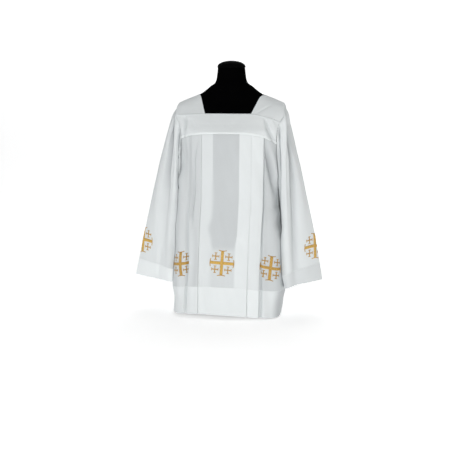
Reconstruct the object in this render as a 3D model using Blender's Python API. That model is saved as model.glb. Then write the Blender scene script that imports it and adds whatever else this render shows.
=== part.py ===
"""A white surplice on a black, limbless, table-top dress form.

Metres, +Z up. -Y is the garment's front, and +X lies to the right of someone facing it. The
origin is the centre of the base's underside.

Every cloth piece lies on one smooth form, the cloth form: at each height its plan is a superellipse
(half_width, front, back, squareness). Pieces are cut out of it by the neckline, the armholes and
the seams, and the pleats and folds are laid into it as depths behind it.
"""

import math

import bmesh
import bpy
import numpy as np

# ---------------------------------------------------------------- driving sizes, in metres

SEAM_GAP = 0.0004  # air between two sewn pieces, edge to edge
ARMHOLE_GAP = 0.0006  # the same round the armholes, whose edges curve
SEAT_GAP = 0.0003  # air between stacked hard pieces
CLOTH = 0.0012  # one layer of cloth
YOKE_CLOTH = 0.0016  # yoke with its backing layer
HEM_CLOTH = 0.0019  # cloth with its hem turned up behind it

NECKLINE_Z = 0.758  # bottom of the square neckline, in front
BACK_NECKLINE_Z = 0.775
NECK_CORNER_X = 0.086  # half the neckline's width at its bottom
NECK_RIDGE_X = {1: 0.134, -1: 0.126}  # its sides on top of the shoulders, right and left
YOKE_SEAM_Z = 0.686  # seam under the yoke, at the centre
TIP_Z = 0.797  # top of the armhole
UNDERARM_Z = 0.473
HEM_DEPTH = 0.105
CUFF_HEM_DEPTH = 0.057

UNDERARM_RISE = 0.030  # a panel's row through the underarms is this much higher at its centre

UNDERLAY = 0.045  # width of the cloth folded behind a pleat, on its side towards the centre
UNDERLAY_SHORT = 0.006  # on the other side it stops this far short of the strip's groove
STRIP_TOP, STRIP_HEM = 0.048, 0.0445  # from a pleat's line to the groove beside it
PLEAT_STEPS = (-0.032, -0.016)  # stations on a pleat's flat layers, from its line
GROOVE_STATIONS = ((-0.002, 0.0), (0.0, 0.25), (0.002, 1.0), (0.009, 0.55), (0.018, 0.0))

NECK_TOP_Z = 0.925
CAP_RADIUS = 0.0525
CAP_RIM = 0.004
CAP_DOME = 0.026
CAP_EDGE = 0.0015  # how far the cap's underside is drawn in, so that it has a soft edge
CAP_EDGE_HEIGHT = 0.001
CAP_TOP_TURN = 80  # degrees from the cap's rim to the flat on top of it
TORSO_BOTTOM_Z = 0.265
SHOULDER_PLATE = 0.188  # half-width of the form where arms would start
SHOULDERS_FROM_Z = 0.758  # the form follows the cloth form from this height up
EXTRA_LEVELS = (0.302, 0.802)  # rings between the table's rows
REST_DOWN = 0.0021  # the form's shoulders lie this far under the cloth form
REST_IN = 0.0024
UNDER_TOP_Z = 0.70  # no part of the cloth form's upper side is lower than this
BASE_RADIUS = 0.112
BASE_HEIGHT = 0.014
BASE_EDGE = 0.003
POST_RADIUS = 0.016

SLEEVE_LENGTH = 0.62  # along the outer crease
SEAM_REACH = 0.05  # a sleeve's folds start this share of the way down from its armhole
PANEL_SEAM_REACH = 0.1  # and a panel's this share of the way down from its yoke
FOLD_END = 0.15  # a fold fades out this share of its length past each end

# Rows down a yoke, and columns round a sleeve as (from, to, how many). Both are close together
# where the armhole turns in under the shoulder, so that the two edges follow one curve.
YOKE_ROWS = (0, 0.10, 0.20, 0.30, 0.42, 0.56, 0.76, 1)
SLEEVE_COLUMNS = (
    (0.00, 0.05, 2),
    (0.05, 0.17, 8),
    (0.17, 0.30, 5),
    (0.30, 0.83, 12),
    (0.83, 0.95, 8),
    (0.95, 1.00, 2),
)

# Powers that shape the seams' curves.
UNDER_SEAM_POWER = 3.5
TOP_SEAM_POWER = 1.3
NECK_SIDE_POWER = 1.2
UNDERARM_POWER = 3

# Numbers of points along finely sampled lines, each odd so that one lies in the middle.
ROW_SAMPLES = 801
LOOP_SAMPLES = 401
HALF_SAMPLES = 241

# The cloth form: one row for each height.
CLOTH_COLUMNS = ("z", "half_width", "front", "back", "square", "shift")
CLOTH_ROWS = (
    (0.000, 0.202, 0.166, 0.156, 4.6, -0.010),
    (0.110, 0.198, 0.160, 0.151, 4.6, -0.010),
    (0.300, 0.190, 0.148, 0.139, 4.2, -0.006),
    (0.473, 0.187, 0.135, 0.126, 3.2, 0.000),
    (0.600, 0.197, 0.129, 0.122, 2.6, 0.000),
    (0.686, 0.207, 0.125, 0.119, 2.4, 0.000),
    (0.722, 0.220, 0.108, 0.111, 2.4, 0.000),
    (0.758, 0.230, 0.088, 0.099, 2.4, 0.000),
    (0.780, 0.222, 0.074, 0.089, 2.4, 0.000),
    (0.797, 0.198, 0.064, 0.081, 2.4, 0.000),
    (0.812, 0.162, 0.058, 0.075, 2.4, 0.000),
    (0.829, 0.122, 0.055, 0.070, 2.3, 0.000),
    (0.846, 0.097, 0.053, 0.065, 2.2, 0.000),
)

# Half-width of the body pieces at the armhole, by height.
ARMHOLE_COLUMNS = ("z", "x")
ARMHOLE_ROWS = (
    (0.473, 0.1870),
    (0.530, 0.1838),
    (0.600, 0.1808),
    (0.648, 0.1796),
    (0.672, 0.1802),
    (0.700, 0.1830),
    (0.722, 0.1895),
    (0.738, 0.1985),
    (0.752, 0.2045),
    (0.775, 0.2040),
    (0.797, 0.1990),
)

# How far the yokes' seams droop from the centre to each armhole.
DROOP_COLUMNS = ("top_left", "top_right", "under_left", "under_right")
DROOP_ROWS = {
    "front": (0.004, 0.029, 0.022, 0.040),
    "back": (0.010, 0.010, 0.034, 0.034),
}

# The form under the cloth, from its underside up to the chest, and its neck.
FORM_COLUMNS = ("z", "half_width", "front", "back", "square")
TORSO_ROWS = (
    (0.265, 0.152, 0.098, 0.094, 2.3),
    (0.268, 0.160, 0.105, 0.101, 2.3),
    (0.277, 0.165, 0.109, 0.105, 2.3),
    (0.330, 0.167, 0.112, 0.108, 2.3),
    (0.400, 0.158, 0.108, 0.100, 2.3),
    (0.460, 0.151, 0.107, 0.096, 2.3),
    (0.530, 0.156, 0.113, 0.101, 2.3),
    (0.600, 0.166, 0.120, 0.109, 2.3),
    (0.660, 0.172, 0.121, 0.114, 2.3),
    (0.700, 0.177, 0.113, 0.112, 2.4),
    (0.735, 0.184, 0.096, 0.103, 2.4),
)
NECK_ROWS = (
    (0.858, 0.078, 0.0515, 0.062, 2.1),
    (0.869, 0.062, 0.0510, 0.058, 2.0),
    (0.885, 0.056, 0.0510, 0.054, 2.0),
    (0.905, 0.053, 0.0505, 0.051, 2.0),
    (0.925, 0.051, 0.0500, 0.050, 2.0),
)

# Pleat lines: distance from the panel's centre at the yoke and at the hem, how far the two folded
# edges stand apart there, and how deep the groove beside the strip is. The layers behind lie
# pitch apart.
PLEAT_COLUMNS = ("top", "hem", "gap_top", "gap_hem", "groove_top", "groove_hem")
FRONT_PLEATS = (
    (-0.094, -0.092, 0.0008, 0.0016, 0.002, 0.010),
    (0.094, 0.093, 0.0008, 0.0048, 0.005, 0.010),
)
BACK_PLEATS = (
    (-0.094, -0.092, 0.0008, 0.0020, 0.003, 0.009),
    (0.094, 0.092, 0.0008, 0.0030, 0.003, 0.009),
)
PITCH_TOP, PITCH_HEM = 0.0023, 0.0052
UNDERARM_ROW = 0.27  # share of the way down a panel's side where the armhole ends
FOLD_FADE = 0.025  # soft folds fade out over this length towards a panel's side edges

# Hem heights over the floor by x, in front and behind.
HEM_COLUMNS = ("x", "front_z", "back_z")
HEM_ROWS = (
    (-0.212, 0.0090, 0.0090),
    (-0.103, 0.0165, 0.0100),
    (0.000, 0.0145, 0.0115),
    (0.080, 0.0115, 0.0100),
    (0.192, 0.0040, 0.0040),
)

# Soft folds in the panels: a trough (depth over 0) or ridge along a straight line from
# (x, z) to (x2, z2) seen from the front, faded at both ends.
FOLD_COLUMNS = ("x", "z", "x2", "z2", "width", "depth")
FRONT_FOLDS = (
    (0.150, 0.640, 0.182, 0.470, 0.012, 0.010),
    (0.174, 0.640, 0.178, 0.480, 0.012, -0.006),
    (0.184, 0.290, 0.192, 0.080, 0.018, -0.014),
    (-0.170, 0.600, -0.178, 0.480, 0.012, -0.006),
    (-0.180, 0.420, -0.192, 0.300, 0.014, -0.008),
    (-0.194, 0.280, -0.204, 0.090, 0.015, -0.009),
    (-0.150, 0.640, -0.158, 0.430, 0.010, 0.005),
    (0.020, 0.520, 0.035, 0.060, 0.040, 0.004),
    (-0.065, 0.500, -0.070, 0.060, 0.022, 0.004),
)
BACK_FOLDS = (
    (0.150, 0.640, 0.178, 0.470, 0.012, 0.008),
    (-0.150, 0.640, -0.178, 0.470, 0.012, 0.008),
    (0.000, 0.560, -0.010, 0.060, 0.040, 0.005),
    (0.172, 0.420, 0.176, 0.150, 0.018, -0.005),
    (-0.172, 0.420, -0.180, 0.150, 0.018, -0.005),
)

# Cuff outline seen from above, from the outer crease round the front to the crease again.
CUFF_COLUMNS = ("x", "y", "z")
RIGHT_CUFF = (
    (0.3560, -0.080, 0.147),
    (0.3150, -0.101, 0.140),
    (0.2700, -0.116, 0.132),
    (0.2330, -0.127, 0.119),
    (0.2170, -0.112, 0.114),
    (0.2150, -0.060, 0.114),
    (0.2190, 0.020, 0.116),
    (0.2280, 0.095, 0.120),
    (0.2480, 0.137, 0.125),
    (0.2840, 0.105, 0.134),
    (0.3170, 0.035, 0.140),
    (0.3400, -0.030, 0.144),
    (0.3560, -0.080, 0.147),
)
LEFT_CUFF = (
    (-0.3570, -0.075, 0.142),
    (-0.3120, -0.090, 0.137),
    (-0.2650, -0.106, 0.133),
    (-0.2260, -0.122, 0.128),
    (-0.2080, -0.112, 0.126),
    (-0.2220, -0.060, 0.125),
    (-0.2320, 0.020, 0.125),
    (-0.2380, 0.095, 0.127),
    (-0.2560, 0.137, 0.131),
    (-0.2900, 0.105, 0.134),
    (-0.3200, 0.035, 0.137),
    (-0.3430, -0.030, 0.140),
    (-0.3570, -0.075, 0.142),
)

# How far the sleeve stands out past a straight line from armhole to cuff, along its outer fold.
BULGE_COLUMNS = ("along", "left", "right")
BULGE_ROWS = (
    (0.00, 0.000, 0.000),
    (0.02, 0.011, 0.006),
    (0.08, 0.018, 0.009),
    (0.20, 0.014, 0.007),
    (0.45, 0.008, 0.007),
    (0.75, 0.005, 0.006),
    (1.00, 0.000, 0.000),
)

# Sleeve folds: from (round, along) to (round2, along2), where round runs from the outer crease by
# the front, 0 to 1, and along from armhole to cuff. Width is a share of the way round.
SLEEVE_FOLD_COLUMNS = ("round", "along", "round2", "along2", "width", "depth")
LEFT_SLEEVE_FOLDS = (
    (0.050, 0.03, 0.170, 0.62, 0.030, 0.010),
    (0.110, 0.06, 0.230, 0.60, 0.028, -0.010),
    (0.120, 0.45, 0.150, 0.98, 0.035, 0.005),
    (0.800, 0.05, 0.720, 0.60, 0.035, 0.012),
    (0.880, 0.20, 0.860, 0.90, 0.040, -0.006),
)
RIGHT_SLEEVE_FOLDS = (
    (0.050, 0.03, 0.185, 0.90, 0.026, 0.011),
    (0.110, 0.06, 0.235, 0.60, 0.024, -0.012),
    (0.800, 0.05, 0.720, 0.60, 0.035, 0.012),
    (0.880, 0.20, 0.860, 0.90, 0.040, -0.006),
)

WHITE = (0.86, 0.88, 0.88)
BLACK = (0.012, 0.012, 0.013)
DARK_STEEL = (0.03, 0.03, 0.033)

# ---------------------------------------------------------------- curves and tables


def column(rows, columns, name):
    """One named column of a table."""
    return np.array([row[columns.index(name)] for row in rows], float)


def smooth(value, xs, ys):
    """A curve through the points (xs, ys) that never overshoots them: cubic pieces whose slope at
    a point is the harmonic mean of the chords beside it, and 0 where they disagree in sign."""
    value, xs, ys = np.asarray(value, float), np.asarray(xs, float), np.asarray(ys, float)
    step = np.diff(xs)
    chord = np.diff(ys) / step
    same = chord[1:] * chord[:-1] > 0
    safe = np.where(same, chord[1:] + chord[:-1], 1.0)
    middle = np.where(same, 2 * chord[1:] * chord[:-1] / safe, 0.0)
    slope = np.concatenate(([chord[0]], middle, [chord[-1]]))
    clipped = np.clip(value, xs[0], xs[-1])
    k = np.clip(np.searchsorted(xs, clipped, side="right") - 1, 0, len(step) - 1)
    t = (clipped - xs[k]) / step[k]
    rise = (3 * t**2 - 2 * t**3) * (ys[k + 1] - ys[k])
    start = (t - 2 * t**2 + t**3) * slope[k] * step[k]
    end = (t**3 - t**2) * slope[k + 1] * step[k]
    return ys[k] + rise + start + end


def cloth(z, name):
    """A size of the cloth form at height z."""
    heights = column(CLOTH_ROWS, CLOTH_COLUMNS, "z")
    return smooth(z, heights, column(CLOTH_ROWS, CLOTH_COLUMNS, name))


def cloth_depth(x, z, back):
    """How far the cloth form reaches from Y = 0, to the front or to the back, at x and height z."""
    reach = cloth(z, "back" if back else "front")
    square = cloth(z, "square")
    across = np.clip(np.abs(x - cloth(z, "shift")) / cloth(z, "half_width"), 0, 1)
    return reach * (1 - across**square) ** (1 / square)


def cloth_normal(points):
    """Outward unit normals of the cloth form, from differences of its plan's equation."""

    def level(p):
        x, y, z = p[..., 0], p[..., 1], p[..., 2]
        reach = np.where(y > 0, cloth(z, "back"), cloth(z, "front"))
        square = cloth(z, "square")
        across = np.abs(x - cloth(z, "shift")) / cloth(z, "half_width")
        return across**square + (np.abs(y) / reach) ** square

    tiny = 1e-4
    slopes = [
        level(points + tiny * axis) - level(points - tiny * axis) for axis in np.eye(3)
    ]
    normal = np.stack(slopes, -1)
    return normal / np.linalg.norm(normal, axis=-1, keepdims=True)


def cloth_top(x, y):
    """Height of the cloth form's upper side over the plan point (x, y), by halving."""
    low = np.full(np.shape(x), UNDER_TOP_Z)
    high = np.full(np.shape(x), CLOTH_ROWS[-1][0])
    for _ in range(40):
        z = (low + high) / 2
        reach = np.where(y > 0, cloth(z, "back"), cloth(z, "front"))
        square = cloth(z, "square")
        across = np.abs(x) / cloth(z, "half_width")
        inside = across**square + (np.abs(y) / reach) ** square < 1
        low = np.where(inside, z, low)
        high = np.where(inside, high, z)
    return (low + high) / 2


def armhole_x(z):
    """Half-width of the body pieces at the armhole."""
    heights = column(ARMHOLE_ROWS, ARMHOLE_COLUMNS, "z")
    return smooth(z, heights, column(ARMHOLE_ROWS, ARMHOLE_COLUMNS, "x"))


def resample(points, shares):
    """Points at these shares, 0 to 1, of the length of a line through points."""
    length = np.concatenate(
        ([0], np.cumsum(np.linalg.norm(np.diff(points, axis=0), axis=1)))
    )
    at = np.asarray(shares) * length[-1]
    return np.stack([np.interp(at, length, axis) for axis in points.T], -1)


def armhole_half(back, from_z=TIP_Z, to_z=UNDERARM_Z, count=HALF_SAMPLES):
    """The armhole's edge on the +X side from from_z down to to_z, in front or behind."""
    turn = np.linspace(0, math.pi, count)
    z = to_z + (from_z - to_z) * (1 + np.cos(turn)) / 2
    x = armhole_x(z)
    y = cloth_depth(x, z, back) * (1 if back else -1)
    return np.stack([x, y, z], -1)


def fold_depth(x, z, folds):
    """Depth of all the soft folds at (x, z): each is a bell across its line, faded at its ends."""
    total = np.zeros(np.shape(x))
    for x1, z1, x2, z2, width, depth in folds:
        along = np.array([x2 - x1, z2 - z1])
        length = np.hypot(*along)
        share = ((x - x1) * along[0] + (z - z1) * along[1]) / length**2
        off = ((x - x1) * along[1] - (z - z1) * along[0]) / length
        inside = np.minimum(share, 1 - share) + FOLD_END
        fade = np.clip(inside / (2 * FOLD_END), 0, 1)
        total += depth * fade * fade * (3 - 2 * fade) * np.exp(-((off / width) ** 2))
    return total


# ---------------------------------------------------------------- meshes


def material(name, colour, roughness, metallic=0.0):
    """A plain Principled material."""
    made = bpy.data.materials.new(name)
    made.use_nodes = True
    shader = made.node_tree.nodes["Principled BSDF"]
    shader.inputs["Base Color"].default_value = (*colour, 1)
    shader.inputs["Roughness"].default_value = roughness
    shader.inputs["Metallic"].default_value = metallic
    return made


def add_object(name, vertices, faces, finish):
    """Makes one object, facing out, in triangles, shaded smooth under 40 degrees."""
    mesh = bpy.data.meshes.new(name)
    mesh.from_pydata(np.asarray(vertices).tolist(), [], faces)
    shape = bmesh.new()
    shape.from_mesh(mesh)
    bmesh.ops.triangulate(shape, faces=shape.faces[:])
    if shape.calc_volume(signed=True) < 0:
        bmesh.ops.reverse_faces(shape, faces=shape.faces[:])
    shape.to_mesh(mesh)
    shape.free()
    mesh.shade_smooth()
    mesh.set_sharp_from_angle(angle=math.radians(40))
    mesh.materials.append(finish)
    made = bpy.data.objects.new(name, mesh)
    bpy.context.scene.collection.objects.link(made)
    return made


def wall(name, outer, inner, finish, tube=False):
    """A closed wall between two grids of the same shape, rows by columns. A tube's last column
    joins its first one. Both sides of the wall are cut along the same diagonals, so that they
    stay apart where it twists."""
    rows, columns = outer.shape[:2]
    count = rows * columns
    faces = []
    steps = columns if tube else columns - 1
    for i in range(rows - 1):
        for j in range(steps):
            k = (j + 1) % columns
            a, b, c, d = i * columns + j, i * columns + k, (i + 1) * columns + k, (i + 1) * columns + j
            faces += [(a, b, c), (a, c, d)]
            faces += [(count + c, count + b, count + a), (count + d, count + c, count + a)]
    for j in range(steps):
        k = (j + 1) % columns
        low = (rows - 1) * columns
        faces.append((k, j, count + j, count + k))
        faces.append((low + j, low + k, count + low + k, count + low + j))
    if not tube:
        for i in range(rows - 1):
            a, b = i * columns, (i + 1) * columns
            faces.append((a, b, count + b, count + a))
            c, d = a + columns - 1, b + columns - 1
            faces.append((d, c, count + c, count + d))
    vertices = np.concatenate([outer.reshape(-1, 3), inner.reshape(-1, 3)])
    return add_object(name, vertices, faces, finish)


def level_inside(outer, thickness):
    """The inner grid of a wall whose edges are cut level: each point moved in horizontally until
    it lies thickness behind the cloth form."""
    normal = cloth_normal(outer)
    flat = normal[..., :2]
    steep = np.linalg.norm(flat, axis=-1, keepdims=True)
    inner = outer.copy()
    inner[..., :2] -= flat / steep**2 * thickness
    return inner


def rings_solid(name, rings, finish):
    """A closed solid through rings of points, with a flat cap at each end."""
    count = rings.shape[1]
    faces = [tuple(range(count - 1, -1, -1))]
    for i in range(len(rings) - 1):
        for j in range(count):
            k = (j + 1) % count
            faces.append((i * count + j, i * count + k, (i + 1) * count + k, (i + 1) * count + j))
    last = (len(rings) - 1) * count
    faces.append(tuple(last + j for j in range(count)))
    return add_object(name, rings.reshape(-1, 3), faces, finish)


def turned(name, profile, sides, finish):
    """A solid of revolution about Z from (radius, z) pairs, its first and last faces flat."""
    turn = np.linspace(0, 2 * math.pi, sides, endpoint=False)
    rings = [
        np.stack([r * np.cos(turn), r * np.sin(turn), np.full(sides, z)], -1)
        for r, z in profile
    ]
    return rings_solid(name, np.array(rings), finish)


# ---------------------------------------------------------------- the form


def form_rows():
    """The form's rows from its underside to its neck. Its shoulders repeat the cloth form's, a
    little lower and further in, and end at the shoulder plates."""
    shoulders = [
        (z - REST_DOWN, min(w - REST_IN, SHOULDER_PLATE), f - REST_IN, b - REST_IN, n)
        for z, w, f, b, n, _ in CLOTH_ROWS
        if z >= SHOULDERS_FROM_Z
    ]
    return [*TORSO_ROWS, *shoulders, *NECK_ROWS]


def torso(finish, sides=32):
    """The torso and neck: superellipse rings, closer together on the shoulders."""
    rows = form_rows()
    heights = column(rows, FORM_COLUMNS, "z")
    levels = sorted({*heights, *EXTRA_LEVELS})
    turn = np.linspace(0, 2 * math.pi, sides, endpoint=False)
    rings = []
    for z in levels:
        sizes = {n: smooth(z, heights, column(rows, FORM_COLUMNS, n)) for n in FORM_COLUMNS[1:]}
        power = 2 / sizes["square"]
        reach = np.where(np.sin(turn) > 0, sizes["back"], sizes["front"])
        x = sizes["half_width"] * np.sign(np.cos(turn)) * np.abs(np.cos(turn)) ** power
        y = reach * np.sign(np.sin(turn)) * np.abs(np.sin(turn)) ** power
        rings.append(np.stack([x, y, np.full(sides, z)], -1))
    return rings_solid("form_torso", np.array(rings), finish)


def neck_cap(finish):
    """The domed cap that closes the neck."""
    low = NECK_TOP_Z + SEAT_GAP
    dome = [
        (CAP_RADIUS * math.cos(a), low + CAP_RIM + (CAP_DOME - CAP_RIM) * math.sin(a))
        for a in np.linspace(0, math.radians(CAP_TOP_TURN), 5)
    ]
    edge = [(CAP_RADIUS - CAP_EDGE, low), (CAP_RADIUS, low + CAP_EDGE_HEIGHT)]
    return turned("neck_cap", [*edge, *dome], 24, finish)


def stand(finish):
    """The round base and the short post that carries the torso."""
    turned(
        "stand_base",
        [
            (BASE_RADIUS, 0.0),
            (BASE_RADIUS, BASE_HEIGHT - BASE_EDGE),
            (BASE_RADIUS - BASE_EDGE, BASE_HEIGHT),
        ],
        36,
        finish,
    )
    turned(
        "stand_post",
        [(POST_RADIUS, BASE_HEIGHT + SEAT_GAP), (POST_RADIUS, TORSO_BOTTOM_Z - SEAT_GAP)],
        16,
        finish,
    )


# ---------------------------------------------------------------- yokes and shoulders


def droop(share, back, edge):
    """How far a yoke's "top" or "under" seam droops at the armhole on this share's side."""
    row = DROOP_ROWS["back" if back else "front"]
    left, right = (row[DROOP_COLUMNS.index(f"{edge}_{side}")] for side in ("left", "right"))
    return np.where(np.asarray(share) > 0, right, left)


def under_yoke_z(share, back):
    """Height of the seam under a yoke, at a share, -1 to 1, of the way to the armholes."""
    return YOKE_SEAM_Z - droop(share, back, "under") * np.abs(share) ** UNDER_SEAM_POWER


def neckline(back):
    """Height of a neckline's bottom, and its corners as a share of the way to the armholes."""
    height = BACK_NECKLINE_Z if back else NECKLINE_Z
    return height, NECK_CORNER_X / float(armhole_x(height))


def over_yoke_z(share, back):
    """Height of a yoke's top edge: level along the neckline, then drooping to the armhole."""
    height, corner = neckline(back)
    past = np.clip((np.abs(share) - corner) / (1 - corner), 0, 1)
    return height - droop(share, back, "top") * past**TOP_SEAM_POWER


def yoke(name, back, finish):
    """A band on the cloth form from its top edge down to the pleated panel's seam."""
    across = np.linspace(-1, 1, 25)
    down = np.array(YOKE_ROWS)[:, None]
    top = over_yoke_z(across, back) - SEAM_GAP / 2
    z = top * (1 - down) + (under_yoke_z(across, back) + SEAM_GAP / 2) * down
    x = across * (armhole_x(z) - ARMHOLE_GAP / 2)
    y = cloth_depth(x, z, back) * (1 if back else -1)
    outer = np.stack([x, y, z], -1)
    return wall(name, outer, level_inside(outer, YOKE_CLOTH), finish)


def shoulder(name, side, finish):
    """A strap over one shoulder, from the front yoke's top edge to the back yoke's. Its long
    edges are the neckline's side and the armhole's top; rows between them lie on the cloth form."""
    ends = [float(over_yoke_z(side, back)) for back in (False, True)]
    front = armhole_half(False, TIP_Z, ends[0])
    back = armhole_half(True, TIP_Z, ends[1])
    shares = np.linspace(0, 1, 8)
    edge = np.concatenate([resample(front[::-1], shares), resample(back, shares)[1:]])
    behind = edge[:, 1] > 0
    share = edge[:, 1] / np.where(behind, edge[-1, 1], edge[0, 1])
    corner_y = [cloth_depth(NECK_CORNER_X, neckline(b)[0], b) for b in (False, True)]
    neck_y = np.where(behind, corner_y[1], -corner_y[0]) * share
    ridge = NECK_RIDGE_X[side]
    neck_x = ridge - (ridge - NECK_CORNER_X) * np.abs(share) ** NECK_SIDE_POWER
    across = np.linspace(0, 1, 6)
    x = neck_x[:, None] * (1 - across) + (edge[:, 0, None] - ARMHOLE_GAP / 2) * across
    y = neck_y[:, None] * (1 - across) + edge[:, 1, None] * across
    z = cloth_top(x, y)
    for row, is_back in ((0, False), (-1, True)):
        corner = neckline(is_back)[1]
        place = corner + (1 - corner) * across
        z[row] = over_yoke_z(place * side, is_back) + SEAM_GAP / 2
        x[row] = place * (armhole_x(z[row]) - ARMHOLE_GAP / 2)
        y[row] = cloth_depth(x[row], z[row], is_back) * (1 if is_back else -1)
    outer = np.stack([x, y, z], -1)
    inner = outer - cloth_normal(outer) * CLOTH
    inner[[0, -1]] = level_inside(outer[[0, -1]], CLOTH)
    for grid in (outer, inner):
        grid[..., 0] *= side
    return wall(name, outer, inner, finish)


# ---------------------------------------------------------------- pleated panels


def row_line(down, back, hem):
    """One row across a panel, from its left edge to its right one, on the cloth form: points and
    level outward normals, with the length measured from the centre line. down is 0 at the yoke
    seam and 1 at the hem. The row ends at the armhole, and below it at the side seam."""
    turn = np.linspace(-1, 1, ROW_SAMPLES) * (math.pi / 2)
    z = np.full(turn.shape, 0.3)
    for _ in range(6):
        half = cloth(z, "half_width")
        square = cloth(z, "square")
        limit = np.where(z > UNDERARM_Z, (armhole_x(z) - ARMHOLE_GAP / 2) / half, 1.0)
        last = np.arcsin(np.clip(limit, 0, 1) ** (square / 2))
        seam = np.arccos(np.clip(SEAM_GAP / cloth(z, "front"), 0, 1) ** (square / 2))
        angle = turn / (math.pi / 2) * np.minimum(last, seam)
        x = cloth(z, "shift") + half * np.sign(angle) * np.abs(np.sin(angle)) ** (2 / square)
        share = np.sign(angle) * np.abs(np.sin(angle) / np.sin(last)) ** (2 / square)
        seam_z = under_yoke_z(share, back) - SEAM_GAP / 2
        underarm_z = UNDERARM_Z + UNDERARM_RISE * (1 - np.abs(share) ** UNDERARM_POWER)
        upper = seam_z + (underarm_z - seam_z) * down / UNDERARM_ROW
        lower = underarm_z + (hem(x) - underarm_z) * (down - UNDERARM_ROW) / (1 - UNDERARM_ROW)
        z = upper if down < UNDERARM_ROW else lower
    reach = cloth(z, "back" if back else "front") * np.abs(np.cos(angle)) ** (2 / square)
    points = np.stack([x, reach if back else -reach, z], -1)
    normal = cloth_normal(points)[:, :2]
    normal /= np.linalg.norm(normal, axis=1, keepdims=True)
    length = np.concatenate(
        ([0], np.cumsum(np.linalg.norm(np.diff(points, axis=0), axis=1)))
    )
    return points, normal, length - length[ROW_SAMPLES // 2]


def pleat_path(line, gap, pitch, strip, groove, side):
    """Stations (distance along the row, depth behind it) through one inverted box pleat, left to
    right. The cloth turns under at the pleat's line, runs out to the underlay's edge, crosses
    behind to the other edge and comes back, with a half-round turn at each of the four folds.
    A groove follows the strip's outer edge, on the side away from the centre."""
    radius = pitch / 2
    steps = PLEAT_STEPS
    outer_reach = min(UNDERLAY, strip - UNDERLAY_SHORT)
    reach = (UNDERLAY, outer_reach) if side > 0 else (outer_reach, UNDERLAY)

    def fold(at, depth, to_left, downward):
        centre = at + radius if to_left else at - radius
        turn = np.radians([-90, -30, 30, 90])
        depths = depth + radius * np.sin(turn)
        places = centre + (-radius if to_left else radius) * np.cos(turn)
        if not downward:
            depths = depths[::-1]
        return list(zip(places, depths))

    left = line - (gap + CLOTH) / 2
    right = line + (gap + CLOTH) / 2
    path = [(line + s, 0.0) for s in steps]
    path += fold(left, radius, False, True)
    path += [(line + s, pitch) for s in steps[::-1]]
    path += fold(line - reach[0], 1.5 * pitch, True, True)
    path += [(line + s, 2 * pitch) for s in (*steps, 0.0, *(-s for s in steps[::-1]))]
    path += fold(line + reach[1], 1.5 * pitch, False, False)
    path += [(line - s, pitch) for s in steps]
    path += fold(right, radius, True, False)
    path += [(line - s, 0.0) for s in steps[::-1]]
    edge = [(strip + s, share * groove) for s, share in GROOVE_STATIONS]
    if side > 0:
        return path + [(line + s, d) for s, d in edge]
    return [(line - s, d) for s, d in edge[::-1]] + path


def panel(name, back, pleats, folds, finish):
    """A pleated panel from the yoke seam to the hem, between armholes and side seams."""
    hem_x = column(HEM_ROWS, HEM_COLUMNS, "x")
    hem_z = column(HEM_ROWS, HEM_COLUMNS, "back_z" if back else "front_z")
    hem_top = 1 - HEM_DEPTH / (YOKE_SEAM_Z - hem_z.mean())
    rows = (0, 0.08, 0.17, 0.242, UNDERARM_ROW, 0.44, 0.64, hem_top - 0.002, hem_top, 1)
    outer, inner = [], []
    for down in rows:
        points, normal, length = row_line(down, back, lambda x: smooth(x, hem_x, hem_z))
        pitch = PITCH_TOP + (PITCH_HEM - PITCH_TOP) * down**1.5
        inside = []
        for side, pleat in zip((-1, 1), pleats):
            line = pleat[0] + (pleat[1] - pleat[0]) * down
            gap = pleat[2] + (pleat[3] - pleat[2]) * down**3
            groove = pleat[4] + (pleat[5] - pleat[4]) * min(1, down * 2)
            strip = STRIP_TOP + (STRIP_HEM - STRIP_TOP) * down
            inside.append(pleat_path(line, gap, pitch, strip, groove, side))
        left, right = inside
        edge_left = np.linspace(length[0], left[0][0], 8)[:-1]
        edge_right = np.linspace(right[-1][0], length[-1], 8)[1:]
        centre = np.linspace(left[-1][0], right[0][0], 5)[1:-1]
        path = [(s, 0.0) for s in edge_left] + left + [(s, 0.0) for s in centre]
        path += right + [(s, 0.0) for s in edge_right]
        at, depth = np.array(path).T
        base = np.stack([np.interp(at, length, axis) for axis in points.T], -1)
        out = np.stack([np.interp(at, length, axis) for axis in normal.T], -1)
        from_edge = np.minimum(at - length[0], length[-1] - at) / FOLD_FADE
        soft = np.clip(from_edge, 0, 1) * min(1, down / PANEL_SEAM_REACH)
        depth = depth + fold_depth(base[:, 0], base[:, 2], folds) * soft
        thickness = HEM_CLOTH if down >= hem_top else CLOTH
        middle = base[:, :2] - out * (depth + thickness / 2)[:, None]
        for grid, sign in ((outer, 1), (inner, -1)):
            offset = offset_line(middle, sign * thickness / 2 * (-1 if back else 1))
            grid.append(np.column_stack([offset, base[:, 2]]))
    return wall(name, np.array(outer), np.array(inner), finish)


def offset_line(line, distance):
    """A line in the XY plane moved sideways, to its right for a distance over 0, mitred."""
    run = np.diff(line, axis=0)
    run /= np.linalg.norm(run, axis=1, keepdims=True)
    before = np.vstack([run[:1], run])
    after = np.vstack([run, run[-1:]])
    middle = before + after
    middle /= np.linalg.norm(middle, axis=1, keepdims=True)
    mitre = 1 / np.clip((middle * after).sum(1), 0.8, 1)
    aside = np.stack([middle[:, 1], -middle[:, 0]], -1)
    return line + aside * (distance * mitre)[:, None]


# ---------------------------------------------------------------- sleeves


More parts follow.
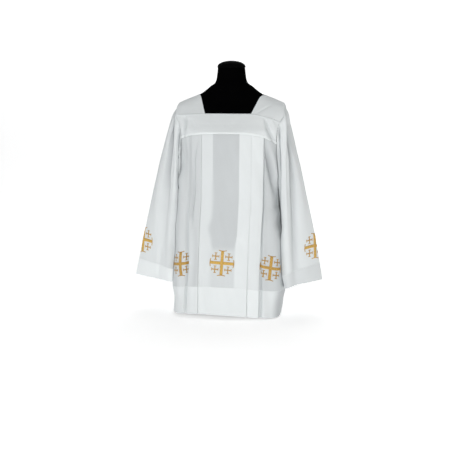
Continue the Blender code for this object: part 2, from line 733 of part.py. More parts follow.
def sleeve_surface(side, cuff, bulge, folds):
    """A function of (round, along) that gives points on a sleeve's outer side. The plain sleeve
    runs straight from the armhole to the cuff, plus the bulge along its outer fold; soft folds
    move it in or out along its normal."""
    front = armhole_half(False)
    back = armhole_half(True)
    loop = np.concatenate([front, back[::-1][1:]])
    loop[:, 0] = (loop[:, 0] + ARMHOLE_GAP / 2) * side
    shares = np.linspace(0, 1, LOOP_SAMPLES)
    armhole = resample(loop, shares)
    knots = np.array(cuff)
    place = np.concatenate(
        ([0], np.cumsum(np.linalg.norm(np.diff(knots, axis=0), axis=1)))
    )
    fine = np.linspace(0, place[-1], LOOP_SAMPLES)
    opening = np.stack([smooth(fine, place, axis) for axis in knots.T], -1)
    opening = resample(opening, shares)
    rows = column(BULGE_ROWS, BULGE_COLUMNS, "along")
    amount = column(BULGE_ROWS, BULGE_COLUMNS, bulge)

    def plain(around, along):
        around = np.clip(around, 0, 1)
        a = np.stack([np.interp(around, shares, axis) for axis in armhole.T], -1)
        b = np.stack([np.interp(around, shares, axis) for axis in opening.T], -1)
        points = a + (b - a) * along[..., None]
        outward = smooth(along, rows, amount) * np.clip(np.cos(2 * math.pi * around), 0, 1) ** 2
        points[..., 0] += side * outward
        return points

    def surface(around, along):
        tiny = 0.004
        low, high = np.clip(around - tiny, 0, 1), np.clip(around + tiny, 0, 1)
        across = plain(high, along) - plain(low, along)
        down = plain(around, np.minimum(along + tiny, 1)) - plain(around, np.maximum(along - tiny, 0))
        normal = np.cross(across, down) * side
        normal /= np.linalg.norm(normal, axis=-1, keepdims=True)
        seam = np.clip(along / SEAM_REACH, 0, 1)
        depth = fold_depth(around, along, folds) * seam
        return plain(around, along) - normal * depth[..., None], normal

    return surface


def sleeve(name, side, cuff, bulge, folds, finish):
    """A sleeve: a tube from the armhole to the cuff, with the hem turned up inside."""
    surface = sleeve_surface(side, cuff, bulge, folds)
    band = 1 - CUFF_HEM_DEPTH / SLEEVE_LENGTH
    rows = np.array([0, 0.015, 0.045, 0.10, 0.18, 0.29, 0.43, 0.58, 0.74, band - 0.003, band, 1])
    around = np.concatenate([np.linspace(low, high, n, endpoint=False) for low, high, n in SLEEVE_COLUMNS])
    outer, normal = surface(*np.meshgrid(around, rows))
    thickness = np.where(rows >= band, HEM_CLOTH, CLOTH)[:, None, None]
    inner = outer - normal * thickness
    centre = outer[0].mean(0)
    toward = centre - outer[0]
    toward[:, 0] = 0
    inner[0] = outer[0] + toward / np.linalg.norm(toward, axis=1, keepdims=True) * CLOTH
    return wall(name, outer, inner, finish, tube=True)


# ---------------------------------------------------------------- the whole part


def clear_scene():
    """Removes what the file held before."""
    for thing in list(bpy.data.objects):
        bpy.data.objects.remove(thing, do_unlink=True)


def main():
    """Builds the dress form and the surplice."""
    clear_scene()
    jersey = material("black_jersey", BLACK, 0.9)
    cap = material("black_cap", BLACK, 0.5)
    steel = material("dark_steel", DARK_STEEL, 0.45, 0.8)
    white = material("white_cloth", WHITE, 0.8)
    torso(jersey)
    neck_cap(cap)
    stand(steel)
    yoke("front_yoke", False, white)
    yoke("back_yoke", True, white)
    shoulder("shoulder_right", 1, white)
    shoulder("shoulder_left", -1, white)
    panel("front_panel", False, FRONT_PLEATS, FRONT_FOLDS, white)
    panel("back_panel", True, BACK_PLEATS, BACK_FOLDS, white)
    sleeve("sleeve_right", 1, RIGHT_CUFF, "right", RIGHT_SLEEVE_FOLDS, white)
    sleeve("sleeve_left", -1, LEFT_CUFF, "left", LEFT_SLEEVE_FOLDS, white)


main()
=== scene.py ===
"""A white surplice with gold crosses on a black, limbless, table-top dress form.

The cloth pieces are grids of points on the cloth form, the smooth shape that the garment hangs in:
at each height its plan is a superellipse. Pleats, tucks and creases are depths behind that form.
Embroidery, welts and stitches are laid on a piece by its flat coordinates, in metres of cloth.
A piece's veil, 0 to 1, says how far its tone goes from doubled white to see-through grey; the same
value also carries painted shade in folds, grooves and parts that turn from the light.
"""

import math
from types import SimpleNamespace

import bpy
import numpy as np
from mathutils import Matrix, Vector
from mathutils.bvhtree import BVHTree


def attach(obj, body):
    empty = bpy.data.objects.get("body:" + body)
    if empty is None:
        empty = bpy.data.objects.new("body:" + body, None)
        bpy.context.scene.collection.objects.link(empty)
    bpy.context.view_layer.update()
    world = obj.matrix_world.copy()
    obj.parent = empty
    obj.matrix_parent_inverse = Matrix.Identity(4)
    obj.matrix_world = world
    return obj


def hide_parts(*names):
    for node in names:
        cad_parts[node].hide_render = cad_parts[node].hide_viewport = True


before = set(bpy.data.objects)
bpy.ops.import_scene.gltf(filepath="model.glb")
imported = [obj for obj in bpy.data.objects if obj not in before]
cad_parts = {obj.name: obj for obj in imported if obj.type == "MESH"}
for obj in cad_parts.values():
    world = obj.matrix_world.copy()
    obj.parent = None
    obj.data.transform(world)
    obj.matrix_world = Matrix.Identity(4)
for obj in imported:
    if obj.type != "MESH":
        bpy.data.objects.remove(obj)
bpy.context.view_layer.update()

# ---- sizes, in metres

FACES, SIDES = ("front", "back"), ("right", "left")
OTHER = {"right": "left", "left": "right"}
SIGN = {"front": -1, "back": 1, "left": -1, "right": 1}  # of Y, or of X, on that side
TINY = 1e-4  # step for slopes
FINE = 0.0005  # step of a sheet's table of places

CLOTH = 0.0006  # one layer of cloth as drawn
HEM_TURN = 0.0006  # half the room between a hem's outer layer and its turned-up one
SEAM_GAP = 0.0002  # air between two sewn pieces
SEAM_SINK, SEAM_SINK_WIDE = 0.0012, 0.0015  # cloth sinks this deep within this far of a seam
HEM_LIFT = 0.0005  # a hem's layers stand this far out of the cloth over them
STRIP_THICK = 0.0009  # a folded strip of cloth, such as a welt
EMBROIDERY_LIFT = 0.0003  # the embroidery's edges over the cloth's outer side
THREAD_SINK = 0.0001  # stitches and embroidery start this far inside the cloth
STITCH = 0.0032  # from one stitch to the next
STITCH_LONG, STITCH_WIDE, STITCH_HIGH = 0.0023, 0.0005, 0.0003
STITCHED_UNDER = 0.0018  # from a hem's top edge down to its stitches
STITCHED_IN = 0.004  # from the cloth's edge to a row's first stitch

NECKLINE_Z = {"front": 0.758, "back": 0.775}  # height of the neckline's bottom
NECK_CORNER_X = 0.086  # half the neckline's width at its corners
NECK_RIDGE_X = {"right": 0.134, "left": 0.126}  # and where it crosses the shoulder's ridge
YOKE_SEAM_Z = 0.686  # middle of the seam under a yoke
TIP_Z, UNDERARM_Z = 0.797, 0.473  # the armhole's highest and lowest points
HEM_DEPTH, CUFF_HEM_DEPTH = 0.105, 0.057
PANEL_LONG = YOKE_SEAM_Z - 0.011  # from the yoke's seam to the hem
SLEEVE_LONG = 0.62  # from armhole to cuff
YOKE_HALF = 0.19  # half a yoke's width
UNDERARM_ROW = 0.27  # share of the way down a panel where its armholes end
UNDERARM_RISE = 0.03  # that row is this much higher in the panel's middle
UNDERLAY = 0.045  # from a pleat's line to the edge of the cloth folded under it
NECK_TOP_Z = 0.925  # the jersey's top edge
REST_DOWN, REST_IN = 0.0021, 0.0024  # the form's shoulders are this far inside the cloth form
SHOULDER_PLATE = 0.188  # half-width of the form's flat shoulder ends
BODY_REACH = 0.235  # half-width past which a sleeve can't touch the body pieces
RAY = 0.4  # rays at the body start this far out

# Tables with named columns. Sizes run smoothly from row to row.
CLOTH_COLUMNS = ("z", "half_width", "front", "back", "square", "shift")
CLOTH_ROWS = (
    (0, 0.202, 0.166, 0.156, 4.6, -0.01),
    (0.11, 0.198, 0.16, 0.151, 4.6, -0.01),
    (0.3, 0.19, 0.148, 0.139, 4.2, -0.006),
    (0.473, 0.187, 0.135, 0.126, 3.2, 0),
    (0.6, 0.197, 0.129, 0.122, 2.6, 0),
    (0.686, 0.207, 0.125, 0.119, 2.4, 0),
    (0.722, 0.22, 0.108, 0.111, 2.4, 0),
    (0.758, 0.23, 0.088, 0.099, 2.4, 0),
    (0.78, 0.222, 0.074, 0.089, 2.4, 0),
    (0.797, 0.198, 0.064, 0.081, 2.4, 0),
    (0.812, 0.162, 0.058, 0.075, 2.4, 0),
    (0.829, 0.122, 0.055, 0.07, 2.3, 0),
    (0.846, 0.097, 0.053, 0.065, 2.2, 0),
)
ARMHOLE_COLUMNS = ("z", "x")
ARMHOLE_ROWS = (
    (0.473, 0.187),
    (0.53, 0.1838),
    (0.6, 0.1808),
    (0.648, 0.1796),
    (0.672, 0.1802),
    (0.7, 0.183),
    (0.722, 0.1895),
    (0.738, 0.1985),
    (0.752, 0.2045),
    (0.775, 0.204),
    (0.797, 0.199),
)
# How far the yokes' seams droop at the armholes.
DROOP_COLUMNS = ("top_left", "top_right", "under_left", "under_right")
DROOP_ROWS = {
    "front": (0.004, 0.029, 0.022, 0.04),
    "back": (0.01, 0.01, 0.034, 0.034),
}
FORM_COLUMNS = ("z", "half_width", "front", "back", "square")
TORSO_ROWS = (
    (0.265, 0.152, 0.098, 0.094, 2.3),
    (0.268, 0.16, 0.105, 0.101, 2.3),
    (0.277, 0.165, 0.109, 0.105, 2.3),
    (0.33, 0.167, 0.112, 0.108, 2.3),
    (0.4, 0.158, 0.108, 0.1, 2.3),
    (0.46, 0.151, 0.107, 0.096, 2.3),
    (0.53, 0.156, 0.113, 0.101, 2.3),
    (0.6, 0.166, 0.12, 0.109, 2.3),
    (0.66, 0.172, 0.121, 0.114, 2.3),
    (0.7, 0.177, 0.113, 0.112, 2.4),
    (0.735, 0.184, 0.096, 0.103, 2.4),
)
NECK_ROWS = (
    (0.858, 0.078, 0.0515, 0.062, 2.1),
    (0.869, 0.062, 0.051, 0.058, 2),
    (0.885, 0.056, 0.051, 0.054, 2),
    (0.905, 0.053, 0.0505, 0.051, 2),
    (0.925, 0.051, 0.05, 0.05, 2),
)

# Pleats: distance of the line from the panel's centre at the yoke and at the hem, width of the
# slit between its folded edges there, and depth of the groove beside its strip there.
FRONT_PLEATS = (
    (-0.094, -0.092, 0.0009, 0.0011, 0.003, 0.012),
    (0.094, 0.093, 0.0002, 0.0026, 0.006, 0.011),
)
BACK_PLEATS = (
    (-0.094, -0.092, 0.0008, 0.002, 0.003, 0.009),
    (0.094, 0.092, 0.0008, 0.003, 0.003, 0.009),
)
PITCH_TOP, PITCH_HEM = 0.0016, 0.0028  # from one folded layer of a pleat to the next
PRESSED_PITCH = 0.0009  # the front's right pleat is pressed this flat at the yoke
GROOVE_TOP_WIDE, GROOVE_HEM_WIDE = 0.0035, 0.0115  # the groove beside a strip
STRIP_TOP, STRIP_HEM = 0.048, 0.0445  # width of the strip between a pleat's line and its edge
BEFORE_GROOVE, AFTER_GROOVE = 0.0045, 0.006  # room for the stations of its two slopes
TUCK_LEAD = 0.024  # the cloth starts to sink this far from that strip
TUCK_TOP, TUCK_HEM = 0.004, 0.014  # cloth tucked in behind the front's left strip
STRIP_DRAWN_IN = 0.0085  # the same strip is this much narrower where the tuck pulls hardest

# Height of the hem of each panel.
HEM_COLUMNS = ("x", "front", "back")
HEM_ROWS = (
    (-0.212, 0.009, 0.009),
    (-0.103, 0.0165, 0.01),
    (0, 0.0145, 0.0115),
    (0.08, 0.0115, 0.01),
    (0.192, 0.004, 0.004),
)

# Creases: (x, z, x2, z2, width, depth), a trough (depth over 0) or ridge along the line from
# (x, z) to (x2, z2), faded at its ends.
FRONT_CREASES = (
    (0.178, 0.64, 0.18, 0.52, 0.012, -0.01),
    (0.184, 0.4, 0.188, 0.315, 0.016, -0.008),
    (0.187, 0.322, 0.192, 0.08, 0.02, -0.0225),
    (0.165, 0.37, 0.178, 0.08, 0.011, -0.009),
    (0.152, 0.56, 0.15, 0.33, 0.011, 0.002),
    (-0.176, 0.54, -0.192, 0.3, 0.016, -0.014),
    (-0.192, 0.3, -0.204, 0.09, 0.015, -0.009),
    (-0.164, 0.5, -0.18, 0.08, 0.011, -0.006),
    (0.02, 0.52, 0.035, 0.06, 0.04, 0.004),
    (-0.065, 0.5, -0.07, 0.06, 0.022, 0.004),
    (-0.088, 0.17, -0.086, -0.01, 0.011, 0.0035),
    (0.093, 0.4, 0.05, 0.3, 0.016, -0.002),
    (-0.03, 0.64, 0.012, 0.38, 0.018, 0.0012),
)
# Folds that bend as they fall: stations (down, across, depth, left, right), where depth is behind
# the cloth form and left and right are the fold's widths on either side of its line.
FRONT_FOLDS = (
    (
        (0.665, 0.143, 0.008, 0.005, 0.007),
        (0.614, 0.147, 0.013, 0.006, 0.01),
        (0.557, 0.1595, 0.014, 0.008, 0.009),
        (0.512, 0.169, 0.011, 0.008, 0.007),
        (0.48, 0.174, 0.005, 0.008, 0.006),
        (0.45, 0.178, 0, 0.008, 0.006),
    ),
    (
        (0.64, 0.165, 0, 0.007, 0.007),
        (0.598, 0.172, -0.006, 0.007, 0.007),
        (0.51, 0.1825, -0.006, 0.006, 0.007),
        (0.47, 0.186, 0, 0.006, 0.007),
    ),
    (
        (0.125, 0.19, 0, 0.014, 0.008),
        (0.105, 0.19, -0.002, 0.015, 0.008),
        (0.08, 0.19, -0.0085, 0.016, 0.008),
        (0.045, 0.1895, -0.014, 0.018, 0.008),
        (0.004, 0.188, -0.0085, 0.018, 0.008),
        (-0.02, 0.187, -0.007, 0.018, 0.008),
    ),
    (
        (0.67, -0.168, 0.007, 0.01, 0.006),
        (0.64, -0.16, 0.006, 0.008, 0.006),
        (0.56, -0.154, 0.003, 0.008, 0.008),
        (0.43, -0.156, 0, 0.009, 0.009),
    ),
    (
        (0.655, -0.108, 0.0015, 0.008, 0.003),
        (0.589, -0.119, 0.0045, 0.008, 0.003),
        (0.476, -0.119, 0.006, 0.008, 0.003),
        (0.4, -0.125, 0.0045, 0.008, 0.0035),
        (0.33, -0.129, 0, 0.008, 0.006),
    ),
)
BACK_CREASES = (
    (0.15, 0.64, 0.178, 0.47, 0.012, 0.008),
    (-0.15, 0.64, -0.178, 0.47, 0.012, 0.008),
    (0, 0.56, -0.01, 0.06, 0.04, 0.005),
    (0.172, 0.42, 0.176, 0.15, 0.018, -0.005),
    (-0.172, 0.42, -0.18, 0.15, 0.018, -0.005),
    (0.118, 0.64, 0.114, 0.42, 0.011, 0.003),
    (-0.12, 0.56, -0.116, 0.3, 0.013, 0.003),
    (-0.158, 0.26, -0.17, -0.01, 0.008, 0.005),
    (0.16, 0.26, 0.17, -0.01, 0.008, 0.0045),
    (0.045, 0.64, 0.02, 0.42, 0.016, -0.0015),
)
FRONT_YOKE_CREASES = (
    (0.155, 0.745, 0.186, 0.68, 0.007, -0.002),
    (-0.14, 0.74, -0.12, 0.7, 0.01, 0.0015),
    (0.06, 0.745, 0.01, 0.7, 0.014, 0.0008),
)
FRONT_YOKE_FOLDS = (
    (
        (0.745, 0.137, 0.001, 0.006, 0.0035),
        (0.733, 0.141, 0.005, 0.006, 0.0035),
        (0.712, 0.1488, 0.008, 0.008, 0.0035),
        (0.688, 0.1595, 0.009, 0.01, 0.004),
        (0.662, 0.172, 0.008, 0.01, 0.004),
    ),
    (
        (0.75, -0.164, 0, 0.008, 0.004),
        (0.74, -0.162, 0.005, 0.009, 0.004),
        (0.724, -0.1583, 0.008, 0.01, 0.0045),
        (0.7, -0.1625, 0.008, 0.009, 0.005),
        (0.662, -0.169, 0.007, 0.008, 0.005),
    ),
)
SHOULDER_FOLDS = (
    (
        (0.755, 0.1, 0, 0.005, 0.005),
        (0.765, 0.1137, 0.0022, 0.004, 0.006),
        (0.784, 0.1445, 0.0016, 0.005, 0.008),
        (0.795, 0.164, 0, 0.005, 0.006),
    ),
)
BACK_YOKE_CREASES = (
    (0.15, 0.75, 0.166, 0.68, 0.008, 0.004),
    (-0.154, 0.75, -0.16, 0.68, 0.008, 0.0035),
    (0.03, 0.76, 0.06, 0.7, 0.02, 0.0008),
)

# Points (x, y, z) round each cuff's edge, from its outer crease by the front.
RIGHT_CUFF = (
    (0.356, -0.08, 0.147),
    (0.315, -0.101, 0.14),
    (0.27, -0.116, 0.132),
    (0.233, -0.127, 0.119),
    (0.217, -0.112, 0.114),
    (0.215, -0.06, 0.114),
    (0.219, 0.02, 0.116),
    (0.228, 0.095, 0.12),
    (0.248, 0.137, 0.125),
    (0.284, 0.105, 0.134),
    (0.317, 0.035, 0.14),
    (0.34, -0.03, 0.144),
)
LEFT_CUFF = (
    (-0.362, -0.075, 0.142),
    (-0.314, -0.09, 0.137),
    (-0.2655, -0.106, 0.133),
    (-0.226, -0.122, 0.128),
    (-0.208, -0.112, 0.126),
    (-0.222, -0.06, 0.125),
    (-0.232, 0.02, 0.125),
    (-0.238, 0.095, 0.127),
    (-0.256, 0.137, 0.131),
    (-0.29, 0.105, 0.134),
    (-0.32, 0.035, 0.137),
    (-0.347, -0.03, 0.14),
)
# How far a sleeve's outer crease bulges, at shares of the way along it.
BULGE_COLUMNS = ("along", "left", "right")
BULGE_ROWS = (
    (0, 0, 0),
    (0.02, 0.011, 0.006),
    (0.08, 0.018, 0.009),
    (0.2, 0.019, 0.01),
    (0.45, 0.017, 0.01),
    (0.75, 0.008, 0.008),
    (1, 0, 0),
)
# Sleeve creases: (round, along, round2, along2, width, depth), where round is the share of the way
# from the outer crease by the front, and along runs from armhole to cuff.
SLEEVE_CREASES = {
    "right": ((0.245, 0.62, 0.26, 0.95, 0.045, -0.006),),
    "left": (
        (0.185, 0.02, 0.3, 0.018, 0.015, 0.012),
        (0.23, 0.45, 0.25, 0.85, 0.04, -0.006),
        (0.14, 0.8, 0.15, 0.98, 0.014, 0.003),
    ),
    "both": (
        (0.6, 0.1, 0.56, 0.8, 0.04, 0.008),
        (0.7, 0.3, 0.68, 0.95, 0.04, -0.006),
        (0.9, 0.45, 0.87, 0.95, 0.04, -0.006),
    ),
}
# Sleeve folds: stations (along, round, depth, towards the outer crease, away from it).
LEFT_SLEEVE_FOLDS = (
    (
        (0, 0.06, 0.02, 0.12, 0.03),
        (0.03, 0.09, 0.02, 0.09, 0.018),
        (0.08, 0.114, 0.021, 0.07, 0.011),
        (0.13, 0.121, 0.02, 0.06, 0.011),
        (0.21, 0.128, 0.018, 0.056, 0.011),
        (0.31, 0.132, 0.016, 0.056, 0.012),
        (0.39, 0.144, 0.013, 0.056, 0.014),
        (0.48, 0.15, 0.007, 0.05, 0.018),
        (0.7, 0.16, 0.004, 0.03, 0.026),
        (1, 0.17, 0, 0.03, 0.03),
    ),
    (
        (0, 0.11, 0, 0.012, 0.016),
        (0.03, 0.131, -0.006, 0.012, 0.016),
        (0.12, 0.166, -0.009, 0.016, 0.018),
        (0.25, 0.196, -0.009, 0.022, 0.022),
        (0.43, 0.205, -0.005, 0.026, 0.026),
        (0.7, 0.2, 0, 0.026, 0.026),
    ),
    (
        (0, 0.15, 0.009, 0.01, 0.03),
        (0.03, 0.17, 0.012, 0.01, 0.05),
        (0.07, 0.196, 0.013, 0.01, 0.05),
        (0.13, 0.226, 0.014, 0.012, 0.06),
        (0.21, 0.248, 0.008, 0.016, 0.06),
        (0.32, 0.256, 0, 0.02, 0.06),
    ),
)
RIGHT_SLEEVE_FOLDS = (
    (
        (0, 0.06, 0.014, 0.05, 0.014),
        (0.03, 0.072, 0.018, 0.06, 0.01),
        (0.06, 0.086, 0.019, 0.044, 0.01),
        (0.14, 0.098, 0.019, 0.08, 0.01),
        (0.23, 0.102, 0.018, 0.08, 0.01),
        (0.31, 0.109, 0.016, 0.06, 0.011),
        (0.4, 0.118, 0.015, 0.044, 0.013),
        (0.6, 0.133, 0.013, 0.026, 0.016),
        (0.84, 0.149, 0.01, 0.026, 0.022),
        (1, 0.156, 0.006, 0.026, 0.026),
    ),
    (
        (0, 0.1, 0, 0.01, 0.014),
        (0.03, 0.104, -0.005, 0.01, 0.014),
        (0.15, 0.129, -0.008, 0.012, 0.014),
        (0.35, 0.16, -0.008, 0.014, 0.018),
        (0.66, 0.186, -0.006, 0.018, 0.02),
        (0.9, 0.195, 0, 0.02, 0.02),
    ),
    (
        (0, 0.14, 0, 0.008, 0.04),
        (0.03, 0.15, 0.012, 0.01, 0.05),
        (0.09, 0.166, 0.019, 0.01, 0.06),
        (0.16, 0.186, 0.019, 0.013, 0.06),
        (0.24, 0.206, 0.018, 0.014, 0.06),
        (0.32, 0.224, 0.016, 0.015, 0.06),
        (0.4, 0.244, 0.015, 0.016, 0.06),
        (0.53, 0.258, 0.012, 0.018, 0.06),
        (0.66, 0.266, 0.006, 0.02, 0.06),
        (0.8, 0.27, 0, 0.02, 0.06),
    ),
)

PANELS = {
    "front": SimpleNamespace(pleats=FRONT_PLEATS, creases=FRONT_CREASES, folds=FRONT_FOLDS, seed=11),
    "back": SimpleNamespace(pleats=BACK_PLEATS, creases=BACK_CREASES, folds=(), seed=12),
}
YOKES = {"front": (FRONT_YOKE_CREASES, FRONT_YOKE_FOLDS), "back": (BACK_YOKE_CREASES, ())}
# A yoke's strips of cloth: edge, height, veil, and how far down them their stitches are.
WELTS = (("top", 0.0055, 0.34, (0.0044,)), ("under", 0.009, 0.1, (0.0014, 0.0076)))
CUFFS = {"right": RIGHT_CUFF, "left": LEFT_CUFF}
SLEEVE_FOLDS = {"right": RIGHT_SLEEVE_FOLDS, "left": LEFT_SLEEVE_FOLDS}
SLEEVE_FINISH = {"right": (21, 0.3), "left": (22, 0.02)}  # ripple's seed, and the hem's veil

# Veils: how grey the cloth looks, 0 to 1, over what lies behind it, with painted shade added in folds,
# grooves and parts that turn away.
SINGLE_VEIL = 0.34  # one layer of a panel below the form
SIDE_VEIL_Z, SIDE_VEIL = (0.10, 0.26, 0.45, 0.62), (0.35, 0.37, 0.40, 0.46)  # and at its sides
UNDERLAY_VEIL = 0.20  # between the pleats
STRIP_VEIL, TUCKED_STRIP_VEIL = 0.17, 0.45  # the strips beside the pleats
HEM_VEIL, CORNER_PAINTED_SHADE = 0.06, 0.45  # a panel's hem, and painted shade on its corner that turns back
YOKE_VEIL, SHOULDER_VEIL, NECK_BAND_VEIL, SLEEVE_VEIL = 0.20, 0.22, 0.16, 0.18
DEEPEST_FOLD = 0.021  # a sleeve's fold of this depth gets FOLD_PAINTED_SHADE of painted shade
FOLD_PAINTED_SHADE = 0.76
THIN_STROKES_PAINTED_SHADE = 0.40  # painted shade on the gold of a cross's thin strokes, between their threads

# A cross: centre to arms' ends, bar, bars across the arms' ends, their span and their bow.
LARGE_CROSS = (0.0465, 0.0112, 0.003, 0.03, 0.0022)
SMALL_CROSS = (0.0135, 0.0038, 0.0024, 0.0105, 0)
SMALL_AT = 0.0245  # the small crosses' centres, across and down
# Where the crosses are: across and down the sheet, lean in degrees, squeeze and deepness of gold.
CROSSES = (
    ("front_cross_middle", "front_panel", -0.0025, 0.476, 2.5, 1, 0),
    ("front_cross_left", "front_panel", -0.333, 0.478, -2, 1, 0.4),
    ("front_cross_right", "front_panel", 0.3645, 0.48, 5, 1, 0.3),
    ("sleeve_right_cross", "sleeve_right", 0.009, 0.454, -9, 0.82, 0),
    ("sleeve_left_cross", "sleeve_left", 0.003, 0.45, -9, 0.82, 0),
)

# ---- curves and tables


def column(rows, columns, name):
    """One named column of a table."""
    return np.array([row[columns.index(name)] for row in rows], float)


def smooth(value, xs, ys):
    """A curve through the points (xs, ys) that never overshoots them: cubic pieces whose slope at
    a point is the harmonic mean of the chords beside it, and 0 where they disagree in sign."""
    value, xs, ys = np.asarray(value, float), np.asarray(xs, float), np.asarray(ys, float)
    step = np.diff(xs)
    chord = np.diff(ys) / step
    same = chord[1:] * chord[:-1] > 0
    safe = np.where(same, chord[1:] + chord[:-1], 1.0)
    middle = np.where(same, 2 * chord[1:] * chord[:-1] / safe, 0.0)
    slope = np.concatenate(([chord[0]], middle, [chord[-1]]))
    clipped = np.clip(value, xs[0], xs[-1])
    k = np.clip(np.searchsorted(xs, clipped, side="right") - 1, 0, len(step) - 1)
    t = (clipped - xs[k]) / step[k]
    rise = (3 * t**2 - 2 * t**3) * (ys[k + 1] - ys[k])
    start = (t - 2 * t**2 + t**3) * slope[k] * step[k]
    end = (t**3 - t**2) * slope[k + 1] * step[k]
    return ys[k] + rise + start + end


def look_up(rows, columns, name, at):
    """A table's named column, run smoothly over its first one, at these places."""
    return smooth(at, column(rows, columns, columns[0]), column(rows, columns, name))


def mix(first, last, share):
    """From first to last by a share, 0 to 1."""
    return first + (last - first) * share


def ease(value, low, high):
    """0 up to low, 1 from high on, and 3t^2 - 2t^3 between."""
    t = np.clip((value - low) / (high - low), 0, 1)
    return t * t * (3 - 2 * t)


def within(value, rise, fall):
    """1 between a rise and a fall, each eased from its first number to its second, 0 outside."""
    return ease(value, *rise) * (1 - ease(value, *fall))


def bell(off, width):
    """1 at 0, and 1/e at width on either side."""
    return np.exp(-((off / width) ** 2))


def rounded(share, power):
    """1 in the middle of a strip and 0 at both edges: a superellipse's height."""
    return np.sqrt(np.clip(1 - np.abs(2 * share - 1) ** power, 0, 1))


def unit(vectors):
    """Vectors of length 1."""
    return vectors / np.maximum(np.linalg.norm(vectors, axis=-1, keepdims=True), 1e-12)


def line_length(points):
    """Distance along a line of points, or along each of several, from its first point."""
    steps = np.linalg.norm(np.diff(points, axis=-2), axis=-1)
    return np.concatenate([np.zeros(steps.shape[:-1] + (1,)), np.cumsum(steps, -1)], -1)


def interpolate(at, places, values, period=None):
    """Every column of values, given at places along a line, at other places along it."""
    return np.stack([np.interp(at, places, each, period=period) for each in values.T], -1)


def resample(points, shares):
    """Points at these shares, 0 to 1, of the length of a line through points."""
    length = line_length(points)
    return interpolate(np.asarray(shares) * length[-1], length, points)


# ---- the cloth form


def cloth(z, name):
    """A size of the cloth form at height z."""
    return look_up(CLOTH_ROWS, CLOTH_COLUMNS, name, z)


def plan_level(x, y, z):
    """1 on the cloth form's plan at height z, under 1 inside it: the sum of the shares that x and
    y are of its reach, each raised to its squareness."""
    square = cloth(z, "square")
    across = np.abs(x - cloth(z, "shift")) / cloth(z, "half_width")
    return across**square + (np.abs(y) / np.where(y > 0, cloth(z, "back"), cloth(z, "front"))) ** square


def cloth_y(x, z, face):
    """Y on the cloth form's front or back at x and height z."""
    square = cloth(z, "square")
    across = np.clip(np.abs(x - cloth(z, "shift")) / cloth(z, "half_width"), 0, 1)
    return SIGN[face] * cloth(z, face) * (1 - across**square) ** (1 / square)


def cloth_normal(points):
    """Outward unit normals of the cloth form, from differences of its plan's level."""
    steps = [np.moveaxis(points + tiny, -1, 0) for tiny in (*TINY * np.eye(3), *-TINY * np.eye(3))]
    levels = [plan_level(*step) for step in steps]
    return unit(np.stack([levels[n] - levels[n + 3] for n in range(3)], -1))


def cloth_top(x, y):
    """Height of the cloth form's upper side over the plan point (x, y), by halving."""
    low, high = (np.full(np.shape(x), end) for end in (0.7, CLOTH_ROWS[-1][0]))
    for _ in range(40):
        z = (low + high) / 2
        inside = plan_level(x, y, z) < 1
        low, high = np.where(inside, z, low), np.where(inside, high, z)
    return (low + high) / 2


def armhole_x(z):
    """Half-width of the body pieces at the armhole."""
    return look_up(ARMHOLE_ROWS, ARMHOLE_COLUMNS, "x", z)


def armhole_half(face, to_z=UNDERARM_Z):
    """The armhole's edge on the +X side from its tip down to to_z, in front or behind."""
    z = to_z + (TIP_Z - to_z) * (1 + np.cos(np.linspace(0, math.pi, 241))) / 2
    x = armhole_x(z)
    return np.stack([x, cloth_y(x, z, face), z], -1)


def crease_depth(x, z, creases):
    """Depth of all the creases at (x, z): each is a bell across its line, faded at its ends."""
    total = np.zeros(np.shape(x))
    for x1, z1, x2, z2, width, depth in creases:
        along = np.array([x2 - x1, z2 - z1])
        length = np.hypot(*along)
        share = ((x - x1) * along[0] + (z - z1) * along[1]) / length**2
        off = ((x - x1) * along[1] - (z - z1) * along[0]) / length
        total += depth * ease(np.minimum(share + 0.15, 1.15 - share), 0, 0.3) * bell(off, width)
    return total


def fold_depth(across, down, folds):
    """Depth of folds that bend: each is a bell across a line through its stations, with its own
    width on either side, and all four numbers run smoothly between stations."""
    total = np.zeros(np.shape(across))
    for stations in folds:
        at, place, depth, left, right = np.array(sorted(stations)).T
        off = across - smooth(down, at, place)
        width = np.where(off < 0, smooth(down, at, left), smooth(down, at, right))
        total = total + smooth(down, at, depth) * bell(off, width)
    return total


def behind(folds):
    """One sleeve's folds, shallower and wider, for the other one's back: places and widths change
    sides."""
    return tuple(
        tuple((at, 1 - place, depth * 0.6, right * 1.5, left * 1.5) for at, place, depth, left, right in fold)
        for fold in folds
    )


def ripple(u, v, size, seed):
    """Slight unevenness of hung cloth: five crossing waves of 40 to 120 mm, long down the cloth."""
    draw = np.random.default_rng(seed)
    total = np.zeros(np.broadcast(u, v).shape)
    for _ in range(5):
        wide, tall, phase = draw.uniform(0.040, 0.120), draw.uniform(0.12, 0.40), draw.uniform(0, 6.28)
        total = total + np.sin(2 * math.pi * (u / wide + v / tall) + phase) / 5
    return total * size


# ---- sheets of cloth


